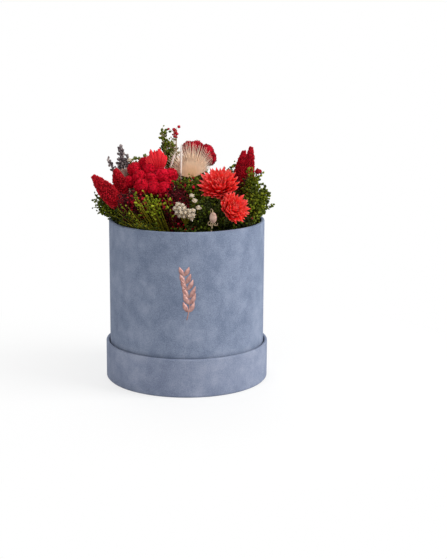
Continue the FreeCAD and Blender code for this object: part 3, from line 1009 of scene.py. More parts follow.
class Crowd:
    """The flower heads as round-ended rods, which thin branches keep clear of."""

    def __init__(self, rim_in: float, rim_height: float) -> None:
        """Starts with nothing but the drum's rim.

        Args:
            rim_in: how far from the axis branches stay below the rim, in millimetres.
            rim_height: the height that they stay inside it up to.
        """
        self.rim_in = rim_in
        self.rim_height = rim_height
        self.rods: list[tuple[np.ndarray, np.ndarray, float]] = []

    def add(self, start: Any, end: Any, radius: float) -> None:
        """Adds a rod."""
        self.rods.append((np.array(start, float), np.array(end, float), radius))

    def is_clear(self, line: list[Vector]) -> bool:
        """Whether a line of points meets neither a head nor the drum's rim.

        Args:
            line: the points in millimetres.

        Returns:
            True if it is clear of everything.
        """
        places = np.array(line)
        off_axis = np.hypot(places[:, 0], places[:, 1])
        if np.any((places[:, 2] < self.rim_height) & (off_axis > self.rim_in)):
            return False
        for start, end, radius in self.rods:
            way = end - start
            length = max(float(way @ way), 1e-9)
            share = np.clip((places - start) @ way / length, 0, 1)
            apart = np.linalg.norm(places - (start + share[:, None] * way), axis=1)
            if np.any(apart < radius):
                return False
        return True


class Workshop:
    """What every plant needs to grow: paints, shapes, growth rules, the foam and its neighbours."""

    def __init__(self, foam_top: float, crowd: Crowd) -> None:
        """Mixes the paints and makes the shapes and the growth rules.

        Args:
            foam_top: height of the foam's top, in millimetres.
            crowd: the heads that branches keep clear of.
        """
        self.foam_top = foam_top
        self.crowd = crowd
        self.paints = {paint: paint.finish.make(paint.label) for paint in Paint}
        self.spiral = spiral_growth()
        self.twigs = twig_growth()
        self.grains = grain_growth()
        self.rays = ray_growth()
        meshes = {
            Shape.BUD: bud_mesh("bud", 0.4, 0.4, 5),
            Shape.BEAD: bud_mesh("bead", 0.5, 1.0, 6),
            Shape.GRAIN: bud_mesh("grain", 0.5, 0.5, 4),
            Shape.LONG_BUD: bud_mesh("long_bud", 0.28, 0.7, 6),
            Shape.BRACT: bract_mesh("bract", 0.21, 0.16, 0.7),
            Shape.SCALE: bract_mesh("scale", 0.42, 0.3, 0.5),
            Shape.RAY: ray_mesh("ray", 0.025, 0.6),
            Shape.BLADE: ray_mesh("blade", BLADE_HALF, 0.88),
            Shape.RIB: rib_mesh("rib", 0.06, 0.13),
        }
        self.shapes = {shape: self.hidden(mesh) for shape, mesh in meshes.items()}

    def hidden(self, mesh: Mesh) -> bpy.types.Object:
        """An unseen object that holds a shape for copying.

        Args:
            mesh: the shape.

        Returns:
            The object.
        """
        made = added(mesh.name, mesh)
        made.hide_render = True
        return made

    def close(self) -> None:
        """Takes the shapes out of the scene once everything has grown."""
        for shape in self.shapes.values():
            bpy.data.objects.remove(shape)

    def foot(self, head: Any) -> Vector:
        """Where a stem that comes out of the middle of the foam's base meets the foam's top, under a head."""
        sunk = 2.0
        return Vector(head) * (self.foam_top - sunk) / head[2]

    def stem(self, points: list[Any], radius: float, paint: Paint, sides: int = 8) -> Mesh:
        """A round stem through points, closed at both ends.

        Args:
            points: its line in millimetres.
            radius: in millimetres.
            paint: its finish.
            sides: points round it.

        Returns:
            The mesh.
        """
        line = [Vector(point) for point in points]
        rings: list[Vector] = []
        for index, point in enumerate(line):
            way = line[min(index + 1, len(line) - 1)] - line[max(index - 1, 0)]
            turn = UP.rotation_difference(way)
            for side in range(sides):
                angle = 2 * math.pi * side / sides
                rings.append(point + turn @ Vector((radius * math.cos(angle), radius * math.sin(angle), 0)))
        return self.painted(mesh_from("stem", rings, tube_faces(len(line), sides)), paint)

    def painted(self, mesh: Mesh, paint: Paint) -> Mesh:
        """Puts one paint on all of a mesh.

        Args:
            mesh: the mesh.
            paint: the finish.

        Returns:
            The same mesh.
        """
        mesh.materials.clear()
        mesh.materials.append(self.paints[paint])
        return mesh

    def core(self, profile: Profile, sides: int, paint: Paint, **values: float) -> Mesh:
        """A turned shape about Z that a head grows round.

        Args:
            profile: radius and height in millimetres, from the bottom up.
            sides: points round it.
            paint: its finish.
            values: attributes that are the same all over it.

        Returns:
            The mesh.
        """
        points, faces = spun_points(profile, sides)
        mesh = self.painted(mesh_from("core", points, faces), paint)
        for name, value in values.items():
            set_attribute(mesh, name, [value] * len(points))
        return mesh

    def grow(self, rule: Growth, base: Mesh, shape: Shape, paint: Paint, **values: Any) -> Mesh:
        """A mesh with a painted shape grown on it many times, by a rule and its inputs."""
        return rule.grow(base, Shape=self.shapes[shape], Material=self.paints[paint], **values)

    def dress(self, node: str, paint: Paint) -> None:
        """Gives a solid that stays as it is its finish."""
        self.painted(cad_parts[node].data, paint)
        LOG.info("%s dressed in %s", node, paint.label)

    def joined(self, meshes: list[Mesh]) -> Mesh:
        """Several meshes as one, with their paints and attributes.

        Args:
            meshes: the meshes, which are used up.

        Returns:
            The joined mesh.
        """
        holders = [added("joining", mesh) for mesh in meshes]
        with bpy.context.temp_override(active_object=holders[0], selected_editable_objects=holders):
            bpy.ops.object.join()
        mesh = holders[0].data
        bpy.data.objects.remove(holders[0])
        return mesh

    def piece(self, name: str, meshes: list[Mesh], body: Body, slot: Slot, nodes: list[str]) -> None:
        """Puts finished meshes into the scene as one piece of the object.

        Args:
            name: the piece's name.
            meshes: its meshes, in place, in metres.
            body: the body that it rides on.
            slot: the record's material slot; not used.
            nodes: the solids that it stands for.
        """
        mesh = self.joined(meshes) if len(meshes) > 1 else meshes[0]
        mesh.name = name
        made = added(name, mesh)
        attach(made, body.value)
        if nodes:
            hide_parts(*nodes)
        mesh.calc_loop_triangles()
        LOG.info("%s: %d triangles", name, len(mesh.loop_triangles))


@dataclass
class SuedeSkin:
    """A suede skin over a round wall, turned under at the bottom and in over the rim, with a back seam."""

    radius: float
    bottom: float
    top: float
    wall: float
    suede: float = 0.5
    turn_in: float = 14.0
    turn_under: float = 9.0
    edge_round: float = 1.2
    seam_gap: float = 0.4
    steps: int = 288

    @classmethod
    def over(cls, node: str, wall: float) -> SuedeSkin:
        """The skin that takes a solid's place, sized by its box and by the wall with both layers of suede."""
        low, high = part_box(node)
        return cls(high[0] / MM, low[2] / MM, high[2] / MM, wall)

    def profile(self) -> Profile:
        """The skin's closed cross-section.

        Returns:
            Its corners, as radius and height.
        """
        outer = self.radius
        inner = outer - self.wall
        half = self.wall / 2
        crown = half * 0.8
        bends = 7
        rows = 12
        line = [(outer - self.turn_under, self.bottom)]
        swing = self.edge_round
        for step in range(bends):
            angle = math.pi / 2 * step / (bends - 1)
            out = outer - swing + swing * math.sin(angle)
            line.append((out, self.bottom + swing - swing * math.cos(angle)))
        for row in range(1, rows):
            line.append((outer, self.bottom + (self.top - self.bottom) * row / rows))
        for step in range(2 * bends):
            angle = math.pi * step / (2 * bends - 1)
            line.append((inner + half + half * math.cos(angle), self.top - crown + crown * math.sin(angle)))
        inside = inner + self.suede
        outside = outer - self.suede
        under_rim = self.top - self.suede - half * 0.4
        line += [(inner, self.top - self.turn_in), (inside, self.top - self.turn_in), (inside, under_rim)]
        line += [(outside, under_rim), (outside, self.bottom + self.suede)]
        line.append((outer - self.turn_under, self.bottom + self.suede))
        return line

    def mesh(self) -> Mesh:
        """The closed skin, with its narrow seam at the back.

        Returns:
            The mesh.
        """
        line = self.profile()
        half_gap = self.seam_gap / 2 / self.radius
        points = []
        for step in range(self.steps + 1):
            angle = math.pi / 2 + half_gap + (2 * math.pi - 2 * half_gap) * step / self.steps
            for radius, height in line:
                points.append((radius * math.cos(angle), radius * math.sin(angle), height))
        return mesh_from("skin", points, [face[::-1] for face in tube_faces(self.steps + 1, len(line))])


@dataclass
class HatBox:
    """The drum and the upturned lid under it, in suede over board."""

    drum_wall: float = 3.5
    lid_wall: float = 3.0

    def build(self, shop: Workshop) -> None:
        """Makes both skins and dresses the board, the paper, the lining and the foam.

        Args:
            shop: what it is made with.
        """
        for name, node, wall, body, paint in (
            ("suede_drum", "drum_suede_wrap", self.drum_wall, Body.DRUM, Paint.SUEDE),
            ("suede_lid", "lid_suede_band", self.lid_wall, Body.LID, Paint.LID_SUEDE),
        ):
            mesh = shop.painted(SuedeSkin.over(node, wall).mesh(), paint)
            shop.piece(name, [mesh], body, Slot.SUEDE, [node])
        for paint, nodes in (
            (Paint.LID_SUEDE, ("lid_suede_panel",)),
            (Paint.PAPER, ("lid_filler_paper", "drum_base_paper")),
            (Paint.BOARD, ("lid_panel_board", "lid_rim_board", "drum_base_board", "drum_wall_board")),
            (Paint.LINING, ("lid_lining_disc", "lid_lining_band", "drum_lining_disc", "drum_lining_band")),
            (Paint.FOAM, ("foam_lower", "foam_upper")),
        ):
            for node in nodes:
                shop.dress(node, paint)


@dataclass
class FoilSprig:
    """A plain leafy sprig in thin rose foil on the drum's front."""

    drum_radius: float
    foot_height: float = 74.0
    length: float = 44.0
    sway: float = 2.5
    leaf_length: float = 13.0
    leaf_width: float = 2.1
    leaf_lean: float = 42.0
    leaf_curve: float = 0.35
    stem_width: float = 0.45
    stem_taper: float = 0.6
    lift: float = 0.05
    thickness: float = 0.12
    pairs: int = 6
    first_pair: float = 0.18
    pair_span: float = 0.76
    longest_at: float = 0.45

    def wrapped(self, lift: float, across: float, height: float) -> Point:
        """A point on the drum's front.

        Args:
            lift: how far it stands off the drum.
            across: how far round the drum it is from the middle of the front.
            height: its height.

        Returns:
            The point.
        """
        radius = self.drum_radius + lift
        angle = across / self.drum_radius - math.pi / 2
        return radius * math.cos(angle), radius * math.sin(angle), height

    def strip(self, line: list[Vector], halves: list[float]) -> Mesh:
        """A thin raised strip along a line on the drum's face.

        Args:
            line: its points as distance round and height.
            halves: half its width at each point.

        Returns:
            The closed mesh.
        """
        points = []
        for index, point in enumerate(line):
            way = (line[min(index + 1, len(line) - 1)] - line[max(index - 1, 0)]).normalized()
            step = Vector((-way.y, way.x)) * halves[index]
            top = self.lift + self.thickness
            for lift, side in ((self.lift, 1), (self.lift, -1), (top, -1), (top, 1)):
                spot = point + step * side
                points.append(self.wrapped(lift, spot.x, spot.y))
        return mesh_from("strip", points, [face[::-1] for face in tube_faces(len(line), 4)])

    def build(self, shop: Workshop) -> None:
        """Makes the sprig on the drum.

        Args:
            shop: what it is made with.
        """
        steps = 36
        stalk = []
        for step in range(steps + 1):
            share = step / steps
            across = self.sway * math.sin(math.pi * 1.5 * share)
            stalk.append(Vector((across, self.foot_height + self.length * share)))
        halves = [self.stem_width * (1 - self.stem_taper * step / steps) for step in range(steps + 1)]
        strips = [self.strip(stalk, halves)]
        leaf_steps = 10
        thinnest = 0.04
        for pair in range(self.pairs):
            place = self.first_pair + self.pair_span * pair / (self.pairs - 1)
            foot = stalk[round(place * steps)]
            size = self.leaf_length * (1 - 0.5 * abs(place - self.longest_at))
            for side in (-1, 1):
                lean = math.radians(self.leaf_lean) * side
                line = []
                halves = []
                for step in range(leaf_steps + 1):
                    share = step / leaf_steps
                    turn = lean * (1 - self.leaf_curve * share)
                    line.append(foot + Vector((math.sin(turn), math.cos(turn))) * size * share)
                    halves.append(max(thinnest, self.leaf_width * math.sin(math.pi * share**0.85)))
                strips.append(self.strip(line, halves))
        shop.piece("foil_sprig", [shop.painted(shop.joined(strips), Paint.FOIL)], Body.DRUM, Slot.SUEDE, [])


@dataclass
class GrainSpike:
    """A tapering spike closely set with grains: a red flower spike or a lavender sprig."""

    node: str
    base: Point
    tip: Point
    width: float
    count: int
    grain: float
    paint: Paint
    twig: Paint
    slot: Slot
    seed: int
    jitter: float = 0.28
    foot_share: float = 0.62
    tip_share: float = 0.16
    bulge_share: float = 0.45

    def claim(self, crowd: Crowd) -> None:
        """Tells the neighbours how much room the spike takes."""
        crowd.add(self.base, self.tip, self.width * 0.46)

    def build(self, shop: Workshop) -> None:
        """Grows the spike on its stem.

        Args:
            shop: what it is made with.
        """
        way = Vector(self.tip) - Vector(self.base)
        half = self.width / 2 - self.grain * 0.5
        foot_radius = half * self.foot_share
        tip_radius = half * self.tip_share
        bulge = half * self.bulge_share
        steps = 8
        inset = 0.1
        thinnest = 0.3
        profile = [(0.0, 0.0)]
        for step in range(steps + 1):
            share = step / steps
            radius = foot_radius + (tip_radius - foot_radius) * share + bulge * math.sin(math.pi * share)
            profile.append((max(radius - inset, thinnest), way.length * share * 0.97))
        profile.append((0.0, way.length * 0.99))
        core = shop.core(profile, 16, self.paint, tint=0.25)
        head = shop.grow(
            shop.spiral,
            placed(core, self.base, way),
            Shape.BUD,
            self.paint,
            Seed=self.seed,
            Jitter=self.jitter,
            Count=self.count,
            Place=tuple(Vector(self.base) * MM),
            Turn=turn_to(way),
            Height=way.length * MM,
            Foot_Radius=foot_radius * MM,
            Tip_Radius=tip_radius * MM,
            Bulge=bulge * MM,
            Foot_Tilt=math.radians(70),
            Tip_Tilt=math.radians(15),
            Closing=1.0,
            Foot_Size=self.grain * MM,
            Tip_Size=self.grain * 0.8 * MM,
        )
        stem = shop.stem([shop.foot(self.base), Vector(self.base) + way * 0.05], 1.0, self.twig)
        shop.piece(self.node + "_dried", [head, stem], Body.ARRANGEMENT, self.slot, [self.node])


@dataclass(frozen=True)
class CombFan:
    """An upright comb whose ribs open like a fan from its base."""

    base: Point
    radius: float
    half_angle: float = 30.0
    tilt: float = -11.0
    side_loss: float = 0.25
    ribs: int = 17
    foot: float = 5.0

    def grow(self, shop: Workshop, seed: int) -> Mesh:
        """The comb's ribs side by side, on a short stalk.

        Args:
            shop: what it grows from.
            seed: for the ribs' uneven lengths.

        Returns:
            The mesh.
        """
        base = Vector(self.base)
        return shop.grow(
            shop.rays,
            shop.stem([base - UP * self.foot, base + UP * self.foot], 1.6, Paint.RED_TWIG),
            Shape.RIB,
            Paint.COMB,
            Seed=seed,
            Jitter=0.07,
            Count=self.ribs,
            Place=tuple(base * MM),
            Half_Angle=math.radians(self.half_angle),
            Tilt=math.radians(self.tilt),
            Length=self.radius * MM,
            Lean=0.0,
            Side_Loss=self.side_loss,
        )


@dataclass
class Cockscomb:
    """A velvety crumpled head of round lobes, some with an upright ribbed comb."""

    node: str
    neck: Point
    lobes: tuple[Ball, ...]
    paint: Paint
    grain_paint: Paint
    seed: int
    comb: CombFan | None = None
    density: float = 0.3
    grain: float = 0.75
    warp: float = 0.4
    warp_scale: float = 1.7
    coarse: float = 1.6
    fine: float = 4.2
    fine_share: float = 0.22
    fold_depth: float = 0.16

    def claim(self, crowd: Crowd) -> None:
        """Tells the neighbours how much room the head takes.

        Args:
            crowd: all that the neighbours keep clear of.
        """
        for x, y, z, radius in self.lobes:
            crowd.add((x, y, z), (x, y, z), radius * 0.95)
            crowd.add(self.neck, (x, y, z), 3.0)

    def billow(self, place: Vector, scale: float) -> float:
        """Round swellings with narrow creases between them, from 0 to 1."""
        return min(1.0, 2.4 * abs(noise.noise(place * scale))) ** 0.6

    def lobe(self, centre: Point, radius: float, seed: float) -> Mesh:
        """One crumpled lobe.

        Args:
            centre: its middle in millimetres.
            radius: its radius.
            seed: shifts its folds.

        Returns:
            The mesh with the attribute fold, low in the creases, which the finish paints as shade there and
            as a highlight on the swellings.
        """
        made = bmesh.new()
        bmesh.ops.create_icosphere(made, subdivisions=5, radius=1.0)
        folds = []
        for vertex in made.verts:
            way = vertex.co.normalized()
            shift = Vector((seed, seed * 0.7, -seed))
            bent = way + noise.noise_vector(way * self.warp_scale + shift) * self.warp + shift
            fold = (1 - self.fine_share) * self.billow(bent, self.coarse)
            fold += self.fine_share * self.billow(bent, self.fine)
            folds.append(fold)
            vertex.co = Vector(centre) + way * radius * (1 - self.fold_depth + self.fold_depth * fold)
        mesh = bpy.data.meshes.new("lobe")
        made.to_mesh(mesh)
        made.free()
        mesh.transform(Matrix.Scale(MM, 4))
        mesh.polygons.foreach_set("use_smooth", [True] * len(mesh.polygons))
        set_attribute(mesh, "fold", folds)
        return mesh

    def build(self, shop: Workshop) -> None:
        """Grows the head on its stem.

        Args:
            shop: what it is made with.
        """
        meshes = []
        for index, (x, y, z, radius) in enumerate(self.lobes):
            meshes.append(self.lobe((x, y, z), radius, self.seed * 7.3 + index * 3.1))
        head = shop.grow(
            shop.grains,
            shop.painted(shop.joined(meshes), self.paint),
            Shape.GRAIN,
            self.grain_paint,
            Seed=self.seed,
            Jitter=0.4,
            Density=self.density / MM / MM,
            Grain_Size=self.grain * MM,
        )
        middle = sum((Vector(lobe[:3]) for lobe in self.lobes), Vector()) / len(self.lobes)
        parts = [head, shop.stem([shop.foot(self.neck), self.neck, middle], 1.6, Paint.RED_TWIG)]
        if self.comb:
            parts.append(self.comb.grow(shop, self.seed))
        shop.piece(self.node + "_dried", parts, Body.ARRANGEMENT, Slot.COCKSCOMB, [self.node])


@dataclass
class Strawflower:
    """An open strawflower: pointed dry bracts in a spiral, closing in the middle, on a wire."""

    name: str
    base: Point
    facing: Point
    radius: float
    seed: int
    spread: float
    count: int = 84

    def claim(self, crowd: Crowd) -> None:
        """Tells the neighbours how much room the flower takes."""
        middle = Vector(self.base) + Vector(self.facing).normalized() * self.radius * 0.5
        crowd.add(middle, middle, self.radius * 0.9)

    def build(self, shop: Workshop) -> None:
        """Grows the head, and dresses its wire.

        Args:
            shop: what it is made with.
        """
        way = Vector(self.facing).normalized()
        size = self.radius
        profile = [(0.0, -0.04), (0.16, 0.0), (0.26, 0.15), (0.26, 0.35), (0.16, 0.5), (0.0, 0.54)]
        profile = [(radius * size, height * size) for radius, height in profile]
        # The heart takes the bracts' painted foot shade, at along 0.1.
        heart = shop.core(profile, 20, Paint.BRACT, along=0.1, tint=0.2)
        head = shop.grow(
            shop.spiral,
            placed(heart, self.base, way),
            Shape.BRACT,
            Paint.BRACT,
            Seed=self.seed,
            Jitter=0.12,
            Count=self.count,
            Place=tuple(Vector(self.base) * MM),
            Turn=turn_to(way),
            Height=size * 0.52 * MM,
            Foot_Radius=size * 0.16 * MM,
            Tip_Radius=size * 0.03 * MM,
            Bulge=size * 0.14 * MM,
            Foot_Tilt=math.radians(self.spread),
            Tip_Tilt=math.radians(-24),
            Closing=2.4,
            Foot_Size=size * 1.04 * MM,
            Tip_Size=size * 0.46 * MM,
        )
        shop.piece(self.name + "_dried", [head], Body.ARRANGEMENT, Slot.STRAWFLOWER, [self.name + "_head"])
        shop.dress(self.name + "_wire", Paint.WIRE)


@dataclass
class PalmLeaf:
    """A bleached palm leaf: fine rays in a fan, with paler thick blades at its left."""

    node: str
    base: Point
    length: float
    blades: tuple[tuple[Point, Point], ...]
    half_angle: float = 70.0
    tilt: float = -7.0
    count: int = 57
    blade_half: float = 1.1
    lean: float = 6.0
    side_loss: float = 0.36
    web_share: float = 0.62
    notch: float = 0.3
    pleat: float = 0.7
    forward: float = 0.9
    sheet: float = 0.3
    seed: int = 5

    def web(self, shop: Workshop) -> Mesh:
        """The pleated sheet that holds the rays together near their feet.

        Args:
            shop: what it is made with.

        Returns:
            The closed mesh.
        """
        rows = 6
        first_row = 0.2
        columns = 2 * self.count - 2
        lean = math.radians(self.lean)
        points = []
        along = []
        for row in range(rows):
            level = (row + first_row) / (rows - 1 + first_row)
            face = []
            for column in range(columns + 1):
                share = self.web_share * level * (1 - self.notch * level * (column % 2))
                side = 2 * column / columns - 1
                angle = math.radians(self.tilt + self.half_angle * side)
                reach = self.length * share * (1 - self.side_loss * side * side)
                pleat = self.pleat * share * share * (1 if column % 2 else -1)
                depth = reach * math.sin(lean) - self.forward * share + pleat
                flat = reach * math.cos(lean)
                spot = Vector((flat * math.sin(angle), depth, flat * math.cos(angle)))
                face.append(Vector(self.base) + spot)
            points += face + [spot + Vector((0, self.sheet, 0)) for spot in reversed(face)]
            along += [self.web_share * level] * (2 * len(face))
        ring = 2 * (columns + 1)
        faces = [face for face in tube_faces(rows, ring) if len(face) == 4]
        for column in range(columns):
            quad = [column, column + 1, ring - 2 - column, ring - 1 - column]
            faces.append(quad[::-1])
            faces.append([(rows - 1) * ring + spot for spot in quad])
        mesh = shop.painted(mesh_from("web", points, faces), Paint.PALM)
        set_attribute(mesh, "along", along)
        set_attribute(mesh, "tint", [0.4] * len(points))
        return mesh

    def build(self, shop: Workshop) -> None:
        """Grows the fan and its blades on their stems.

        Args:
            shop: what it is made with.
        """
        fan = shop.grow(
            shop.rays,
            shop.stem([shop.foot(self.base), self.base], 1.0, Paint.POD),
            Shape.RAY,
            Paint.PALM,
            Seed=self.seed,
            Jitter=0.06,
            Count=self.count,
            Place=tuple(Vector(self.base) * MM),
            Half_Angle=math.radians(self.half_angle),
            Tilt=math.radians(self.tilt),
            Length=self.length * MM,
            Lean=math.radians(self.lean),
            Side_Loss=self.side_loss,
        )
        parts = [fan, self.web(shop)]
        for foot, tip in self.blades:
            way = Vector(tip) - Vector(foot)
            wide = self.blade_half / BLADE_HALF * MM
            blade = shop.shapes[Shape.BLADE].data.copy()
            blade.transform(Matrix.Diagonal((wide, wide, way.length * MM, 1.0)))
            set_attribute(blade, "tint", [0.7] * len(blade.vertices))
            parts.append(shop.painted(placed(blade, foot, way), Paint.PALE_RAY))
            parts.append(shop.stem([shop.foot(self.base), foot], 0.6, Paint.PALE_TWIG, 6))
        shop.piece(self.node + "_dried", parts, Body.ARRANGEMENT, Slot.PALM, [self.node])


class TwigLines:
    """The lines that twigs grow along, with where they are bare and how thick they are."""

    def __init__(self) -> None:
        """Starts with none."""
        self.points: list[Vector] = []
        self.edges: list[tuple[int, int]] = []
        self.bare: list[float] = []
        self.thick: list[float] = []

    def add(self, line: list[Vector], bare_share: float, foot: float, tip: float) -> None:
        """Adds a line.

        Args:
            line: its points in millimetres.
            bare_share: how much of it, from its foot, has no buds.
            foot: its thickness at its foot, as a share of the twig radius.
            tip: its thickness at its tip.
        """
        first = len(self.points)
        last = len(line) - 1
        for step, point in enumerate(line):
            share = step / last
            self.points.append(point)
            self.bare.append(1.0 if share < bare_share else 0.0)
            self.thick.append(foot + (tip - foot) * share)
            if step:
                self.edges.append((first + step - 1, first + step))

    def mesh(self) -> Mesh:
        """The lines as edges.

        Returns:
            The mesh, with the attributes bare and thick.
        """
        mesh = mesh_from("lines", self.points, [], self.edges)
        set_attribute(mesh, "bare", self.bare)
        set_attribute(mesh, "thick", self.thick)
        return mesh


@dataclass(frozen=True)
class Tuft:
    """One bunch of twig ends in a spray, with its buds or leaves."""

    middle: Point
    spread: Point
    twigs: int
    paint: Paint
    size: float = 2.4
    gap: float = 3.0
    bare: float = 0.5
    shape: Shape = Shape.BUD
    shoots: int = 3
    shoot_length: float = 7.0


@dataclass
class Spray:
    """A branching spray: thin twigs from the foam to its tufts, with side shoots.

    gather says how far the twigs' feet follow their tips: 0 for one foot, 1 for side by side.
    """

    node: str
    root: Point
    twig: Paint
    seed: int
    tufts: tuple[Tuft, ...]
    slot: Slot = Slot.GREEN_BROOM
    gather: float = 0.3
    twig_radius: float = 0.4
    arch: float = 0.12
    sunk: float = 1.5
    scatter: float = 2.5
    tries: int = 8

    def twig_line(self, tuft: Tuft, foam_top: float, chance: random.Random) -> list[Vector]:
        """One twig's line, from the foam to a place in a tuft.

        Args:
            tuft: the tuft.
            foam_top: height of the foam's top.
            chance: the source of random numbers.

        Returns:
            The points in millimetres.
        """
        level = chance.uniform(-1, 1)
        angle = chance.uniform(0, 2 * math.pi)
        across = math.sqrt(1 - level * level)
        side = Vector((across * math.cos(angle), across * math.sin(angle), level)) * chance.random() ** 0.42
        side = Vector((side.x * tuft.spread[0], side.y * tuft.spread[1], side.z * tuft.spread[2]))
        tip = Vector(tuft.middle) + side
        foot = Vector(self.root) * (foam_top - self.sunk) / self.root[2]
        foot += Vector((side.x, side.y, 0)) * self.gather
        scatter = self.scatter
        foot += Vector((chance.uniform(-scatter, scatter), chance.uniform(-scatter, scatter), 0))
        bend = foot.lerp(tip, 0.55) + UP * (tip - foot).length * self.arch
        bend += Vector((chance.uniform(-2, 2), chance.uniform(-2, 2), chance.uniform(-1.5, 1.5)))
        steps = 7
        line = []
        for step in range(steps + 1):
            share = step / steps
            line.append(foot.lerp(bend, share).lerp(bend.lerp(tip, share), share))
        return line

    def shoot_line(self, line: list[Vector], tuft: Tuft, chance: random.Random) -> list[Vector]:
        """A short side shoot from the upper part of a twig's line.

        Args:
            line: the twig's points.
            tuft: the tuft.
            chance: the source of random numbers.

        Returns:
            The points in millimetres.
        """
        place = chance.randint(math.ceil(tuft.bare * (len(line) - 1)), len(line) - 1)
        along = (line[place] - line[place - 1]).normalized()
        aside = Vector((chance.uniform(-1, 1), chance.uniform(-1, 1), chance.uniform(-0.4, 1)))
        way = (along * 0.7 + aside).normalized() * tuft.shoot_length * chance.uniform(0.6, 1.2)
        return [line[place], line[place] + way * 0.5 - UP * 0.4, line[place] + way]

    def build(self, shop: Workshop) -> None:
        """Grows the spray.

        Args:
            shop: what it is made with.
        """
        chance = random.Random(self.seed)
        parts = []
        for number, tuft in enumerate(self.tufts):
            lines = TwigLines()
            made = 0
            tries = tuft.twigs * self.tries
            while made < tuft.twigs and tries:
                tries -= 1
                line = self.twig_line(tuft, shop.foam_top, chance)
                if not shop.crowd.is_clear(line):
                    continue
                made += 1
                lines.add(line, tuft.bare, 1.0, 0.5)
                for _ in range(tuft.shoots):
                    shoot = self.shoot_line(line, tuft, chance)
                    if shop.crowd.is_clear(shoot):
                        lines.add(shoot, 0.3, 0.6, 0.35)
            bunch = shop.grow(
                shop.twigs,
                lines.mesh(),
                tuft.shape,
                tuft.paint,
                Seed=self.seed + number,
                Jitter=0.35,
                Sides=5,
                Twig_Material=shop.paints[self.twig],
                Twig_Radius=self.twig_radius * MM,
                Bud_Gap=tuft.gap * MM,
                Bud_Size=tuft.size * MM,
            )
            parts.append(bunch)
        shop.piece(self.node + "_dried", parts, Body.ARRANGEMENT, self.slot, [self.node])


@dataclass
class PaperyBuds:
    """Round papery buds on a forked stem, each closely set with scales."""

    name: str
    root: Point
    centres: tuple[Ball, ...]
    seed: int
    nodes: tuple[str, ...] = ()
    paint: Paint = Paint.IMMORTELLE
    slot: Slot = Slot.IMMORTELLE
    scales: int = 30
    opening: float = 60.0

    def build(self, shop: Workshop) -> None:
        """Grows every bud and its stem.

        Args:
            shop: what it is made with.
        """
        root = Vector(self.root)
        parts = [shop.stem([shop.foot(root), root], 0.5, Paint.OLIVE_TWIG)]
        axis = sum((Vector(centre[:3]) for centre in self.centres), Vector()) / len(self.centres) - root
        for index, (x, y, z, radius) in enumerate(self.centres):
            centre = Vector((x, y, z))
            way = (centre - root - axis * 0.35).normalized()
            bend = root.lerp(centre, 0.5) + axis * 0.12
            parts.append(shop.stem([root, bend, centre], 0.25, Paint.OLIVE_TWIG, 5))
            profile = [(0.0, -0.66), (0.46, -0.5), (0.62, -0.1), (0.55, 0.33), (0.28, 0.56), (0.0, 0.62)]
            profile = [(wide * radius, height * radius) for wide, height in profile]
            # The core takes the paint at along 0.3; for the immortelles that is part of the painted shade
            # towards the scale feet.
            core = shop.core(profile, 10, self.paint, along=0.3, tint=0.3)
            bud = shop.grow(
                shop.spiral,
                placed(core, centre, way),
                Shape.SCALE,
                self.paint,
                Seed=self.seed + index,
                Jitter=0.22,
                Count=self.scales,
                Place=tuple((centre - way * radius * 0.6) * MM),
                Turn=turn_to(way),
                Height=radius * 1.1 * MM,
                Foot_Radius=radius * 0.42 * MM,
                Tip_Radius=radius * 0.08 * MM,
                Bulge=radius * 0.34 * MM,
                Foot_Tilt=math.radians(self.opening),
                Tip_Tilt=math.radians(-20),
                Closing=1.0,
                Foot_Size=radius * 0.78 * MM,
                Tip_Size=radius * 0.5 * MM,
            )
            parts.append(bud)
        shop.piece(self.name, parts, Body.ARRANGEMENT, self.slot, list(self.nodes))


